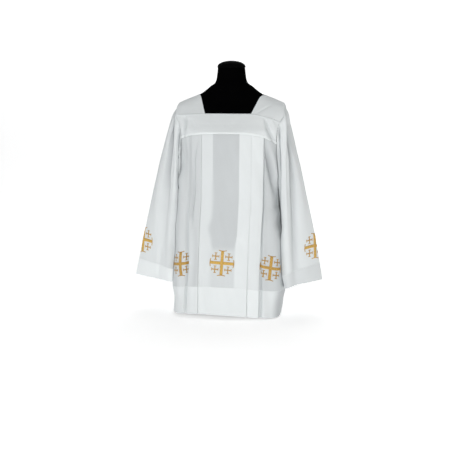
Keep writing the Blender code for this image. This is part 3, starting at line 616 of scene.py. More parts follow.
class Sheet:
    """A piece of cloth: a grid of points on its middle, rows down and columns across, with the
    flat coordinates across and down, in metres. outward is 1 or -1, so that normals face out."""

    def __init__(self, points, outward, middle=0, tube=False):
        self.points, self.tube = points, tube
        closed = np.concatenate([points, points[:, :1]], 1) if tube else points
        ring = np.concatenate([points[:, -1:], closed], 1) if tube else points
        right = np.gradient(ring, axis=1)[:, tube : tube + points.shape[1]]
        self.normal = unit(np.cross(np.gradient(points, axis=0), right) * outward)
        length = line_length(closed)
        self.across = length - length[:, middle : middle + 1]
        self.down = np.median(line_length(np.swapaxes(points, 0, 1)), 0)
        self.flat = np.stack([self.across, np.broadcast_to(self.down[:, None], length.shape)], -1)
        self.table = None

    def place(self, across, down, lift=0.0):
        """Points at flat coordinates on this sheet, raised along its normals: bilinear between
        the rows, each resampled every half millimetre."""
        if self.table is None:
            spare = 0.12 if self.tube else 0.0
            self.first = self.across.min() - spare
            at = np.arange(self.first, self.across.max() + spare, FINE)
            both = np.concatenate([self.points, self.normal], -1)
            both = np.concatenate([both, both[:, :1]], 1) if self.tube else both
            self.table = np.array([
                interpolate(at, length, row, length[-1] if self.tube else None)
                for length, row in zip(self.across, both)
            ])
        r = np.interp(down, self.down, np.arange(len(self.down)))
        i = np.clip(r.astype(int), 0, len(self.down) - 2)
        q = np.clip((across - self.first) / FINE, 0, self.table.shape[1] - 1.001)
        j = q.astype(int)
        f, g = (r - i)[..., None], (q - j)[..., None]
        upper, lower = (mix(self.table[k, j], self.table[k, j + 1], g) for k in (i, i + 1))
        both = mix(upper, lower, f)
        return both[..., :3] + unit(both[..., 3:]) * np.asarray(lift)[..., None]


def cells(grid):
    """The four corners of every cell of a grid, taken round the cell."""
    corners = grid[:-1, :-1], grid[:-1, 1:], grid[1:, 1:], grid[1:, :-1]
    return np.stack(corners, 2).reshape(-1, 4, *grid.shape[2:])


def numbered(rows, columns, tube):
    """A grid's points numbered row by row, with the closing column on a tube."""
    ids = np.arange(rows * columns).reshape(rows, columns)
    return np.concatenate([ids, ids[:, :1]], 1) if tube else ids


def wall(front, rear, flat):
    """A closed wall between two grids of the same shape: vertices, faces and each face corner's
    flat coordinates. flat has one more column than the grids of a tube."""
    rows, columns = front.shape[:2]
    tube = flat.shape[1] > columns
    outer = numbered(rows, columns, tube)
    inner = outer + rows * columns
    parts = [
        (outer, flat),
        (inner[:, ::-1], flat[:, ::-1]),
        (np.stack([inner[0], outer[0]]), flat[[0, 0]]),
        (np.stack([outer[-1], inner[-1]]), flat[[-1, -1]]),
    ]
    if not tube:
        parts += [
            (np.stack([inner[:, 0], outer[:, 0]], 1), flat[:, [0, 0]]),
            (np.stack([outer[:, -1], inner[:, -1]], 1), flat[:, [-1, -1]]),
        ]
    faces, corners = (np.concatenate([cells(grid) for grid in grids]) for grids in zip(*parts))
    return np.concatenate([front.reshape(-1, 3), rear.reshape(-1, 3)]), faces, corners


def facing_out(vertices, faces, corners):
    """The same closed faces, turned over if the volume inside them comes out under 0."""
    a, b, c, d = (vertices[faces[:, n]] for n in range(4))
    if (a * np.cross(b, c)).sum() + (a * np.cross(c, d)).sum() < 0:
        return vertices, faces[:, ::-1], corners[:, ::-1]
    return vertices, faces, corners


def add_piece(name, made, slot, values=None, replaces=(), sharp=50):
    """Makes one piece from closed four-cornered faces, facing out, and lets it ride on the root."""
    vertices, faces, corners = facing_out(*made)
    mesh = bpy.data.meshes.new(name)
    mesh.vertices.add(len(vertices))
    mesh.vertices.foreach_set("co", vertices.ravel())
    mesh.loops.add(faces.size)
    mesh.loops.foreach_set("vertex_index", faces.ravel().astype(np.int32))
    mesh.polygons.add(len(faces))
    mesh.polygons.foreach_set("loop_start", np.arange(0, faces.size, 4, dtype=np.int32))
    mesh.uv_layers.new(name="flat").data.foreach_set("uv", corners.ravel())
    for key, data in (values or {}).items():
        mesh.attributes.new(key, "FLOAT", "POINT").data.foreach_set("value", data.ravel())
    mesh.update(calc_edges=True)
    mesh.shade_smooth()
    mesh.set_sharp_from_angle(angle=math.radians(sharp))
    mesh.materials.append(FINISHES[slot])
    piece = bpy.data.objects.new(name, mesh)
    bpy.context.scene.collection.objects.link(piece)
    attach(piece, "root")
    if replaces:
        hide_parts(*replaces)
    return piece


def cloth_wall(name, outer, inner, flat, veil_and_shade, replaces=()):
    """A closed wall of cloth between two grids, with one veil, or one for each point of a grid."""
    veil_and_shade_values = np.broadcast_to(veil_and_shade, (2, *outer.shape[:2])).astype(float)
    return add_piece(name, wall(outer, inner, flat), "cloth", {"veil_and_shade": veil_and_shade_values}, replaces)


def cloth_piece(part, sheet, veil_and_shade):
    """A sheet as a wall one cloth thick, named after the part that it replaces."""
    lift = sheet.normal * CLOTH / 2
    return cloth_wall(f"{part}_cloth", sheet.points + lift, sheet.points - lift, sheet.flat, veil_and_shade, [part])


def turned_up(points, outward, rows, hem_top, onward, veil_and_shade, middle=0, tube=False):
    """The sheet of a piece with its hem: half a turn at the bottom, going onward, then up inside
    to its top edge. Also gives its veil, and how far down the hem's top edge is."""
    normal = Sheet(points, outward, 0, tube).normal
    turn = np.radians(np.linspace(0, 180, 6)[1:-1])[:, None, None]
    low = points[-1:] + HEM_TURN * (onward * np.sin(turn) - normal[-1:] * (1 - np.cos(turn)))
    inside = np.flatnonzero(rows >= hem_top - 1e-9)[::-1]
    up = points[inside] - normal[inside] * 2 * HEM_TURN
    whole = Sheet(np.concatenate([points, low, up]), outward, middle, tube)
    veil_and_shade = np.concatenate([veil_and_shade, np.repeat(veil_and_shade[-1:], len(low), 0), veil_and_shade[inside]])
    return whole, veil_and_shade, float(whole.down[np.argmin(np.abs(rows - hem_top))])


# ---- the body panels


def panel_rows(down, face):
    """Rows across a panel on the cloth form, from its left edge to its right one, for shares down
    of the way from the yoke seam to the hem: points, level outward normals, and the distance
    from the centre line. A row ends at the armhole, and below it at the side seam."""
    down = down[:, None]
    turn = np.linspace(-1, 1, 801)[None]
    z = np.full((len(down), turn.size), 0.3)
    for _ in range(6):
        half, square = cloth(z, "half_width"), cloth(z, "square")
        limit = np.where(z > UNDERARM_Z, (armhole_x(z) - SEAM_GAP / 2) / half, 1.0)
        last = np.arcsin(np.clip(limit, 0, 1) ** (square / 2))
        seam = np.arccos(np.clip(SEAM_GAP / cloth(z, "front"), 0, 1) ** (square / 2))
        angle = turn * np.minimum(last, seam)
        x = cloth(z, "shift") + half * np.sign(angle) * np.abs(np.sin(angle)) ** (2 / square)
        share = np.sign(angle) * np.abs(np.sin(angle) / np.sin(last)) ** (2 / square)
        underarm_z = UNDERARM_Z + UNDERARM_RISE * (1 - np.abs(share) ** 3)
        hem_z = look_up(HEM_ROWS, HEM_COLUMNS, face, x)
        upper = mix(under_yoke_z(share, face), underarm_z, down / UNDERARM_ROW)
        lower = mix(underarm_z, hem_z, (down - UNDERARM_ROW) / (1 - UNDERARM_ROW))
        z = np.where(down < UNDERARM_ROW, upper, lower)
    y = SIGN[face] * cloth(z, face) * np.abs(np.cos(angle)) ** (2 / square)
    points = np.stack([x, y, z], -1)
    length = line_length(points)
    return points, unit(cloth_normal(points)[..., :2]), length - length[:, 400:401]


def run(start, stop, depth, count):
    """Stations on a straight stretch, without its ends."""
    places = mix(start, stop, np.linspace(0, 1, count + 2)[1:-1][None])
    return places, depth + 0 * places


def half_turn(edge, depth, radius, way, deeper):
    """Stations round a folded edge: half a circle whose outermost point is at edge, bulging the
    way, 1 or -1, and going deeper, 1, or shallower, -1."""
    turn = np.radians(np.linspace(-90, 90, 8))[None]
    return edge - way * radius * (1 - np.cos(turn)), depth + deeper * radius * np.sin(turn)


def pleat_stations(line, gap, pitch, reach):
    """Stations through an inverted box pleat, left to right: the cloth turns under at the line,
    runs out to the underlay's edge, crosses behind to the other one and comes back."""
    r = pitch / 2
    left, right = line - (gap + CLOTH) / 2, line + (gap + CLOTH) / 2
    far_left, far_right = line - reach[0], line + reach[1]
    return [
        half_turn(left, r, r, 1, 1),
        run(left - r, far_left + r, pitch, 8),
        half_turn(far_left, 1.5 * pitch, r, -1, 1),
        run(far_left + r, far_right - r, 2 * pitch, 18),
        half_turn(far_right, 1.5 * pitch, r, 1, -1),
        run(far_right - r, right + r, pitch, 8),
        half_turn(right, r, r, -1, -1),
    ]


def groove_stations(edge, away, wide, deep):
    """Stations across the groove beside a strip: steep at the strip's edge, then a floor, then a
    softer rise. away is 1 or -1, the direction away from the strip."""
    near = np.array([[-0.0040, -0.0025, -0.0012, -0.0004, 0.0003, 0.0011]])
    floor = mix(0.0011, wide, np.linspace(0.15, 0.9, 5)[None])
    far = wide + np.array([[-0.0002, 0.0008, 0.0018, 0.0030, 0.0048]])
    off = np.concatenate([near + 0 * wide, floor, far], 1)[:, ::away]
    return edge + away * off, deep * within(off, (-0.0018, 0.0006), (wide - 0.0008, wide + 0.0034))


def panel_stations(face, d, length):
    """Stations across every row of a panel: places from the centre line and depths behind the
    cloth form. Also gives the pleats' marks, left and right."""
    left, right = (
        SimpleNamespace(
            line=mix(top, hem, d),
            gap=mix(gap_top, gap_hem, d**3),
            groove=mix(groove_top, groove_hem, np.minimum(1, d * 2)),
        )
        for top, hem, gap_top, gap_hem, groove_top, groove_hem in PANELS[face].pleats
    )
    strip, pitch = mix(STRIP_TOP, STRIP_HEM, d), mix(PITCH_TOP, PITCH_HEM, d**1.5)
    tucked = face == "front"
    pressed = mix(PRESSED_PITCH, PITCH_HEM, d**3) if tucked else pitch
    left.edge = left.line - strip + tucked * STRIP_DRAWN_IN * bell(d - 0.70, 0.16)
    right.edge = right.line + strip
    right.wide = wide = mix(GROOVE_TOP_WIDE, GROOVE_HEM_WIDE, ease(d, 0.45, 1))
    r = pitch / 2
    ends = length[:, :1], length[:, -1:]
    fold_l, fold_r = left.line - left.gap / 2 - r, right.line + right.gap / 2 + pressed / 2
    laid = [(ends[0], 0 * d)]
    if tucked:
        tuck = mix(TUCK_TOP, TUCK_HEM, ease(d, 0, 0.7))
        at = left.edge - TUCK_LEAD + (TUCK_LEAD + tuck - r) * np.linspace(0, 1, 14)[None]
        sink = np.maximum(2 * pitch, left.groove)
        lead = 0.021 - 0.008 * ease(d, 0.5, 0.9)
        sunk = sink * ease(at - left.edge, -lead, -0.4 * lead)
        laid += [
            run(ends[0], left.edge - TUCK_LEAD, 0, 46),
            (at, sunk + (2 * pitch - sink) * ease(at - left.edge, 0, 0.004)),
            half_turn(left.edge + tuck, 1.5 * pitch, r, 1, -1),
            run(left.edge + tuck - r, left.edge + r, pitch, 4),
            half_turn(left.edge, r, r, -1, -1),
            run(left.edge + r, fold_l, 0, 24),
        ]
        left.reach = left.line - left.edge - tuck - 0.004
    else:
        laid += [
            run(ends[0], left.edge - wide - AFTER_GROOVE, 0, 46),
            groove_stations(left.edge, -1, wide, left.groove),
            run(left.edge + BEFORE_GROOVE, fold_l, 0, 10),
        ]
        left.reach = UNDERLAY + 0 * strip
    laid += pleat_stations(left.line, left.gap, pitch, (left.reach, UNDERLAY))
    # Close pairs of stations where the underlays end, for a crisp change of tone.
    start = left.line + left.gap / 2 + r
    for edge, count in ((left.line + UNDERLAY, 11), (right.line - UNDERLAY, 26)):
        laid += [run(start, edge - 0.0004, 0, count), run(edge - 0.0009, edge + 0.0009, 0, 2)]
        start = edge + 0.0004
    laid += [
        run(start, right.line - right.gap / 2 - pressed / 2, 0, 11),
        *pleat_stations(right.line, right.gap, pressed, (UNDERLAY, strip - 0.006)),
        run(fold_r, right.edge - BEFORE_GROOVE, 0, 11),
        groove_stations(right.edge, 1, wide, right.groove),
        run(right.edge + wide + AFTER_GROOVE, ends[1], 0, 46),
        (ends[1], 0 * d),
    ]
    at, depth = (np.concatenate(parts, 1) for parts in zip(*laid))
    return at, depth, left, right


def panel_veil_and_shade(face, hem_top, d, at, x, z, left, right):
    """How see-through each point of a panel is. Single cloth is greyer, most of all over the dark
    form; doubled cloth, which is the pleats' strips and underlays and the hem, is whiter. The groove
    beside the right strip and the hem's corner that turns back get painted shade."""
    front = face == "front"
    notch = 0.011 * front * bell(z - 0.337, 0.03)  # the underlay is narrower here
    blur_l, blur_r = 0.0006 + 0.010 * ease(d, 0.16, 0.34), 0.0006 + 0.010 * ease(d, 0.55, 0.62)
    past_l = np.abs(at - left.line) - np.where(at < left.line, left.reach, UNDERLAY - notch)
    past_r = np.abs(at - right.line) - np.where(at < right.line, UNDERLAY, right.edge - right.line)
    layered = 1 - np.minimum(ease(past_l, -blur_l, blur_l), ease(past_r, -0.0006, blur_r))
    layered = np.maximum(layered, ease(d, hem_top - 0.0008, hem_top + 0.0008))
    # Single cloth, over the form and at the sides.
    form_edge = 0.250 + 0.11 * ease(np.abs(x + 0.002), 0.038, 0.095)
    over_form = ease(z, form_edge - 0.004, form_edge + 0.026)
    side = ease(np.abs(x), 0.125, 0.150)
    at_side = smooth(z, SIDE_VEIL_Z, SIDE_VEIL) + ease(x, 0, 0.1) * (0.11 - 0.05 * ease(z, 0.26, 0.36))
    single = mix(SINGLE_VEIL + (0.16 + 0.15 * z) * over_form, at_side, side)
    # Doubled cloth, in the two strips and between them.
    in_left = within(at, (left.edge, left.edge + 0.002), (left.line - 0.004, left.line))
    in_right = within(at, (right.line, right.line + 0.001), (right.edge - 0.001, right.edge))
    under = UNDERLAY_VEIL + 0.14 * z - (0.10 - 0.03 * z) * ease(at, 0, 0.05)
    left_veil = TUCKED_STRIP_VEIL + 0.06 * ease(d, 0.4, 0.8) if front else STRIP_VEIL
    doubled = under + (STRIP_VEIL - under) * in_right + (left_veil - under) * in_left
    # The hem, with painted shade on its corner that turns back and in the groove beside the right strip.
    corner = CORNER_PAINTED_SHADE * front * within(x, (0.168, 0.184), (0.1885, 0.1915))
    hem = HEM_VEIL + 0.10 * side + 0.09 * in_left - 0.06 * in_right + corner
    veil_and_shade = mix(mix(single, doubled, layered), hem, ease(d, hem_top - 0.001, hem_top + 0.001))
    # Painted shade in the groove beside the right strip, darker towards the hem.
    in_groove = within(at - right.edge, (0, 0.001), (right.wide - 0.001, right.wide + 0.002))
    return veil_and_shade + (0.10 + 0.26 * ease(d, 0.6, 0.9)) * in_groove


def panel_sheet(face):
    """A panel's sheet: stations across each row, pushed behind the cloth form by pleats, grooves,
    creases and folds, with the hem turned up inside. Also gives its veil, with painted shade in its
    folds, and how far down the hem's top edge is."""
    panel = PANELS[face]
    hem_top = 1 - HEM_DEPTH / PANEL_LONG
    down = np.concatenate([
        np.linspace(0, 0.012, 3),
        np.linspace(0.020, hem_top - 0.004, 84),
        hem_top + np.array([-0.0015, 0.0, 0.0015]),
        np.linspace(hem_top + 0.006, 0.998, 13),
        [1.0],
    ])
    base, normal, length = panel_rows(down, face)
    d = down[:, None]
    at, depth, left, right = panel_stations(face, d, length)
    points, out = (
        np.array([interpolate(*row) for row in zip(at, length, values)]) for values in (base, normal)
    )
    x, z = points[..., 0].copy(), points[..., 2]
    from_edge = np.minimum(at - length[:, :1], length[:, -1:] - at)
    calm = 0.025 + 0.055 * bell(z - UNDERARM_Z, 0.015)  # widest under the sleeve's seam
    soft = np.clip(from_edge / calm, 0, 1) * np.minimum(1, d / 0.1)
    folded = fold_depth(x, z, panel.folds) * soft
    depth = depth + folded + (crease_depth(x, z, panel.creases) + ripple(at, z, 0.0011, panel.seed)) * soft
    depth += SEAM_SINK * (bell(from_edge, SEAM_SINK_WIDE) + 1 - ease(d, 0, 0.006))
    depth -= HEM_LIFT * ease(d, hem_top - 0.001, hem_top + 0.001)
    points[..., :2] -= out * (depth + CLOTH / 2)[..., None]
    # Painted shade: the cloth greys by the depth of its folds.
    veil_and_shade = panel_veil_and_shade(face, hem_top, d, at, x, z, left, right) + 25 * np.clip(folded, 0, 0.016)
    middle = int(np.argmin(np.abs(at[-1])))
    return turned_up(points, -SIGN[face], down, hem_top, np.array([0, 0, -1.0]), veil_and_shade, middle)


# ---- yokes and shoulders


def droop(share, face, edge):
    """How far a yoke's "top" or "under" seam droops at the armhole on this share's side."""
    left, right = (DROOP_ROWS[face][DROOP_COLUMNS.index(f"{edge}_{side}")] for side in ("left", "right"))
    return np.where(np.asarray(share) > 0, right, left)


def under_yoke_z(share, face):
    """Height of the seam under a yoke, at a share, -1 to 1, of the way to the armholes."""
    return YOKE_SEAM_Z - droop(share, face, "under") * np.abs(share) ** 3.5


def neck_corner(face):
    """A neckline's corners, as a share of the way to the armholes."""
    return NECK_CORNER_X / float(armhole_x(NECKLINE_Z[face]))


def over_yoke_z(share, face):
    """Height of a yoke's top edge: level along the neckline, then drooping to the armhole."""
    corner = neck_corner(face)
    past = np.clip((np.abs(share) - corner) / (1 - corner), 0, 1)
    return NECKLINE_Z[face] - droop(share, face, "top") * past**1.3


def yoke_points(face, across, down, lift=0.0):
    """Points on a yoke at shares across, -1 to 1, and down, 0 to 1, raised off the cloth form."""
    z = mix(over_yoke_z(across, face), under_yoke_z(across, face), down)
    x = across * (armhole_x(z) - SEAM_GAP / 2)
    points = np.stack([x, cloth_y(x, z, face), z], -1)
    creases, folds = YOKES[face]
    depth = crease_depth(x, z, creases) + fold_depth(x, z, folds)
    depth = depth * np.clip((1 - np.abs(across)) / 0.06, 0, 1) - lift
    depth = depth + SEAM_SINK * bell((1 - np.abs(across)) * YOKE_HALF, SEAM_SINK_WIDE)
    return points - cloth_normal(points) * (depth + CLOTH / 2)[..., None]


def yoke_sheet(face):
    """A yoke as a sheet, and its veil, with painted shade in the folds."""
    down, across = np.meshgrid(np.linspace(0, 1, 26), np.linspace(-1, 1, 150), indexing="ij")
    sheet = Sheet(yoke_points(face, across, down), -SIGN[face], middle=75)
    folded = fold_depth(sheet.points[..., 0], sheet.points[..., 2], YOKES[face][1])
    # Painted shade: the yoke greys by the depth of its folds.
    return sheet, YOKE_VEIL + np.clip(folded * 40, 0, 0.38)


def welt(face, part, height, veil_and_shade):
    """A folded strip of cloth along a yoke's "top" or "under" edge, rounded at its long edges,
    and the sheet on its outside."""
    across, share = np.linspace(-1, 1, 150)[None], np.linspace(0, 1, 9)[:, None]
    span = over_yoke_z(across, face) - under_yoke_z(across, face)
    down = share * height / span if part == "top" else 1.004 - (1 - share) * height / span
    outer = yoke_points(face, across, down, CLOTH + STRIP_THICK * rounded(share, 8))
    sheet = Sheet(outer, -SIGN[face])
    strip = cloth_wall(f"{face}_{part}_welt", outer, yoke_points(face, across, down, CLOTH), sheet.flat, veil_and_shade)
    return strip, Sheet(outer - sheet.normal * CLOTH / 2, -SIGN[face])


def shoulder_sheet(word):
    """A strap over one shoulder, from the front yoke's top edge to the back yoke's. Its long
    edges are the neckline's side and the armhole's top; rows between them lie on the cloth form."""
    side = SIGN[word]
    front, back = (armhole_half(face, float(over_yoke_z(side, face))) for face in FACES)
    shares = np.linspace(0, 1, 34)
    edge = np.concatenate([resample(front[::-1], shares), resample(back, shares)[1:]])
    corners = [cloth_y(NECK_CORNER_X, NECKLINE_Z[face], face) for face in FACES]
    is_back = edge[:, 1] > 0
    share = edge[:, 1] / np.where(is_back, edge[-1, 1], edge[0, 1])
    neck_y = np.where(is_back, corners[1], corners[0]) * share
    neck_x = mix(NECK_RIDGE_X[word], NECK_CORNER_X, np.abs(share) ** 1.2)
    across = np.linspace(0, 1, 40)
    x = mix(neck_x[:, None], edge[:, 0, None] - SEAM_GAP / 2, across)
    y = mix(neck_y[:, None], edge[:, 1, None], across)
    z = cloth_top(x, y)
    for row, face, step in ((0, "front", 1), (-1, "back", -1)):
        place = mix(neck_corner(face), 1, across)
        z[row] = over_yoke_z(place * side, face)
        x[row] = place * (armhole_x(z[row]) - SEAM_GAP / 2)
        y[row] = cloth_y(x[row], z[row], face)
        # The next rows ease over to it, so that no step shows.
        for k in range(1, 6):
            n, last = row + k * step, row + 6 * step
            for line in (x, y):
                line[n] = mix(line[n], mix(line[row], line[last], k / 6), 1 - ease(k / 6, 0, 1))
            z[n] = cloth_top(x[n], y[n])
    points = np.stack([x, y, z], -1)
    depth = CLOTH / 2 + SEAM_SINK * bell((1 - across) * 0.09, SEAM_SINK_WIDE) + ripple(x * 1.3, y, 0.0006, 5)
    if word == "right":
        depth = depth + fold_depth(x, z, SHOULDER_FOLDS) * ease(-y, 0, 0.02)
    points = points - cloth_normal(points) * depth[..., None]
    points[..., 0] *= side
    return Sheet(points, side)


def neck_band(word, sheet):
    """A folded strip of cloth along a shoulder's neckline edge, rounded at its long edges."""
    share = np.linspace(0, 1, 9)[None]
    flat = np.stack(np.broadcast_arrays(sheet.across[:, :1] + 0.0055 * share, sheet.down[:, None]), -1)
    lifts = CLOTH / 2 + STRIP_THICK * rounded(share, 8), CLOTH / 2 + 0 * share
    outer, inner = (sheet.place(flat[..., 0], flat[..., 1], lift) for lift in lifts)
    return cloth_wall(f"shoulder_{word}_neck_band", outer, inner, flat, NECK_BAND_VEIL)


# ---- sewing


def strands(name, slot, grids, values=None):
    """Many small walls of the same grid size as one mesh, each facing out. grids gives their
    tops, undersides and flat coordinates, and values each attribute as a number for each wall."""
    vertices, corners, faces = [], [], []
    for grid in zip(*grids):
        points, sides, spots = facing_out(*wall(*grid))
        faces.append(sides + len(vertices) * len(points))
        vertices.append(points)
        corners.append(spots)
    values = {key: np.repeat(value, len(vertices[0])) for key, value in (values or {}).items()}
    made = [np.concatenate(parts) for parts in (vertices, faces, corners)]
    return add_piece(name, made, slot, values, sharp=80)


def stitches(name, rows):
    """Running stitches along rows, each a sheet with its across and down values as two arrays:
    every stitch is a small closed wall with an arched top, and all are one mesh."""
    grids = []
    for sheet, across, down in rows:
        length = line_length(np.stack([across, down], -1))
        count = max(1, int(length[-1] / STITCH))
        middle = (np.arange(count) + 0.5)[:, None] * length[-1] / count
        along = middle + STITCH_LONG * np.linspace(-0.5, 0.5, 4)[None]
        u, v = np.interp(along, length, across), np.interp(along, length, down)
        way = unit(np.stack([np.gradient(u, axis=1), np.gradient(v, axis=1)], -1))
        off = STITCH_WIDE * np.linspace(-0.5, 0.5, 3)
        u = u[..., None] - way[..., 1:] * off
        v = v[..., None] + way[..., :1] * off
        arch = STITCH_HIGH * np.array([0.15, 0.9, 0.9, 0.15])[:, None] * np.array([0.3, 1.0, 0.3])
        top = sheet.place(u, v, CLOTH / 2 + 0.00005 + arch)
        under = sheet.place(u, v, CLOTH / 2 - THREAD_SINK)
        grids.append((top, under, np.stack(np.broadcast_arrays(along[..., None], off), -1)))
    return strands(name, "cloth", [np.concatenate(parts) for parts in zip(*grids)])


def row_across(sheet, down, inset=0.0):
    """A line across a sheet at one distance down it, for stitches."""
    row = int(np.argmin(np.abs(sheet.down - down)))
    across = np.arange(sheet.across[row, 0] + inset, sheet.across[row, -1] - inset, 0.002)
    return sheet, across, np.full(across.shape, down)


# ---- sleeves


def sleeve_surface(word, folds):
    """A function of (round, along) that gives points and normals on a sleeve: straight from the
    armhole to the cuff, plus a bulge that is most at its outer crease, with creases and folds
    along its normal."""
    side = SIGN[word]
    loop = np.concatenate([armhole_half("front"), armhole_half("back")[::-1][1:]])
    loop[:, 0] = (loop[:, 0] + SEAM_GAP / 2) * side
    shares = np.linspace(0, 1, 401)
    knots = np.array(CUFFS[word] + CUFFS[word][:1])
    place = line_length(knots)
    opening = np.stack([smooth(shares * place[-1], place, axis) for axis in knots.T], -1)
    armhole, opening = resample(loop, shares), resample(opening, shares)
    creases = SLEEVE_CREASES[word] + SLEEVE_CREASES["both"]

    def plain(around, along):
        around, along = np.clip(around, 0, 1), np.clip(along, 0, 1)
        first, last = (interpolate(around, shares, ring) for ring in (armhole, opening))
        points = mix(first, last, along[..., None])
        bulge = look_up(BULGE_ROWS, BULGE_COLUMNS, word, along)
        points[..., 0] += side * bulge * np.clip(1 - 4 * np.minimum(around, 1 - around), 0, 1)
        return points

    def surface(around, along):
        tiny = 0.004
        across = plain(around + tiny, along) - plain(around - tiny, along)
        down = plain(around, along + tiny) - plain(around, along - tiny)
        normal = unit(np.cross(across, down) * side)
        depth = crease_depth(around, along, creases) + fold_depth(around, along, folds)
        depth = depth * np.clip(along / 0.018, 0, 1)  # none at the seam
        return plain(around, along) - normal * depth[..., None], normal

    return surface


def clear_of(points, side, body, along, inner):
    """Moves points of a sleeve out along X until they clear what they would lie in of the body's
    pieces by inner, so that the sleeve rests against them. Its first rows stay at the seam."""
    moved = points.copy()
    for index in zip(*np.nonzero((np.abs(points[..., 0]) < BODY_REACH) & (along > 0))):
        x, y, z = points[index]
        hits = (tree.ray_cast((side * RAY, y, z), (-side, 0, 0), RAY)[0] for tree in body)
        reach = max((hit.x * side for hit in hits if hit is not None), default=0.0)
        push = reach + inner - x * side
        if push > 0:
            moved[index][0] += side * push * float(ease(along[index], 0.0, 0.03))
    return moved


def sleeve_sheet(word, body):
    """A sleeve's sheet, a tube from armhole to cuff with its hem turned up inside, its veil with painted
    shade in its folds and along its inner front edge, and how far down the hem's top edge is. Each
    sleeve's back has the other's folds."""
    folds = SLEEVE_FOLDS[word] + behind(SLEEVE_FOLDS[OTHER[word]])
    band = 1 - CUFF_HEM_DEPTH / SLEEVE_LONG
    rows = np.concatenate([
        [0, 0.004, 0.009, 0.016, 0.026],
        np.linspace(0.038, band - 0.008, 84),
        band + np.array([-0.002, 0.0, 0.002]),
        np.linspace(band + 0.012, 0.997, 9),
        [1.0],
    ])
    spans = (0, 0.30, 130), (0.30, 1, 120)
    around = np.concatenate([np.linspace(*span, endpoint=False) for span in spans])
    turns, falls = np.meshgrid(around, rows)
    points, normal = sleeve_surface(word, folds)(turns, falls)
    seed, hem_veil = SLEEVE_FINISH[word]
    depth = ripple(np.abs(turns - 0.5) * 0.9, falls * 0.6, 0.0012, seed) * ease(falls, 0.0, 0.1)
    depth += SEAM_SINK * bell(falls * SLEEVE_LONG, SEAM_SINK_WIDE)
    depth -= HEM_LIFT * ease(falls, band - 0.0015, band + 0.0015)
    points = points - normal * (depth + CLOTH / 2)[..., None]
    points = clear_of(points, SIGN[word], body, falls, CLOTH + 2 * HEM_TURN)
    onward = unit(points[-1:] - points[-2:-1])
    # Painted shade: darker in the fold troughs and along the inner front edge by the body.
    painted_fold_shade = FOLD_PAINTED_SHADE * np.clip(fold_depth(turns, falls, folds) / DEEPEST_FOLD, 0, 1) ** 1.5
    painted_inner_shade = 0.26 * within(turns, (0.195, 0.238), (0.30, 0.36))
    veil_and_shade = np.minimum(SLEEVE_VEIL + painted_fold_shade + painted_inner_shade, 1.0)
    veil_and_shade = mix(veil_and_shade, hem_veil + 0.3 * painted_fold_shade, ease(falls, band - 0.001, band + 0.001))
    return turned_up(points, -SIGN[word], rows, band, onward, veil_and_shade, tube=True)


# ---- embroidery


def cross_strokes(x, y, reach, bar, end_bar, end_span, bow):
    """The strokes of one cross with a crossbar at each arm's end, as (x, y, x2, y2, width, bow):
    the crossbars bend towards the centre by bow at their ends."""
    arm, at, half = reach - end_bar, reach - end_bar / 2, end_span / 2
    return [
        (x - arm, y, x + arm, y, bar, 0.0),
        (x, y - arm, x, y + arm, bar, 0.0),
        (x + at, y - half, x + at, y + half, end_bar, bow),
        (x - at, y + half, x - at, y - half, end_bar, bow),
        (x - half, y - at, x + half, y - at, end_bar, -bow),
        (x - half, y + at, x + half, y + at, end_bar, bow),
    ]


def emblem(name, sheet, across, down, lean, squeeze, deep):
    """A large cross with four small ones round it, in raised satin stitch on a sheet. Each stroke
    is a grid whose height is an arch across it, laid at flat coordinates turned by lean. squeeze
    makes up for a sheet whose own length at that place is more than its middle one. deep is how
    deep its gold is; its thin strokes get more, a painted shade between their threads."""
    strokes = cross_strokes(0, 0, *LARGE_CROSS)
    for x in (-SMALL_AT, SMALL_AT):
        for y in (-SMALL_AT, SMALL_AT):
            strokes += cross_strokes(x, y, *SMALL_CROSS)
    x1, y1, x2, y2, wide, bow = np.moveaxis(np.array(strokes)[:, None, None], -1, 0)
    t = np.linspace(0, 1, 22)[None, :, None]
    c = np.linspace(-1, 1, 7)[None, None, :]
    dx, dy = x2 - x1, y2 - y1
    long = np.hypot(dx, dy)
    off = wide / 2 * c * (rounded(t, 24) * 0.08 + 0.92)
    bend = off - bow * (2 * t - 1) ** 2
    x, y = x1 + dx * t + dy / long * bend, y1 + dy * t - dx / long * bend
    turn = math.radians(lean)
    u = across + x * math.cos(turn) + y * math.sin(turn)
    v = down - (y * math.cos(turn) - x * math.sin(turn)) * squeeze
    arch = np.sqrt(1 - 0.9 * c**2) * np.minimum(0.0011, 0.18 * wide) * rounded(t, 30)
    over = 0.00012 * (np.arange(len(strokes)) % 2)[:, None, None]  # crossing strokes don't coincide
    top = sheet.place(u, v, CLOTH / 2 + EMBROIDERY_LIFT + over + arch)
    under = sheet.place(u, v, CLOTH / 2 - THREAD_SINK)
    flat = np.stack(np.broadcast_arrays(long * t, off), -1)
    # Painted shade: thin strokes darker between their threads.
    deep = deep + np.where(wide[:, 0, 0] < LARGE_CROSS[1], THIN_STROKES_PAINTED_SHADE, 0.0)
    return strands(name, "gold_thread", (top, under, flat), {"deep": deep})


# ---- the form


def form_rings(rows, levels, sides):
    """Superellipse rings at these heights, between a table's rows."""
    z = np.asarray(levels)[:, None]
    wide, front, back, square = (look_up(rows, FORM_COLUMNS, name, z) for name in FORM_COLUMNS[1:])
    turn = np.linspace(0, 2 * math.pi, sides, endpoint=False)[None]
    x, y = (np.sign(part) * np.abs(part) ** (2 / square) for part in (np.cos(turn), np.sin(turn)))
    return np.stack([wide * x, np.where(y > 0, back, front) * y, z + 0 * x], -1)


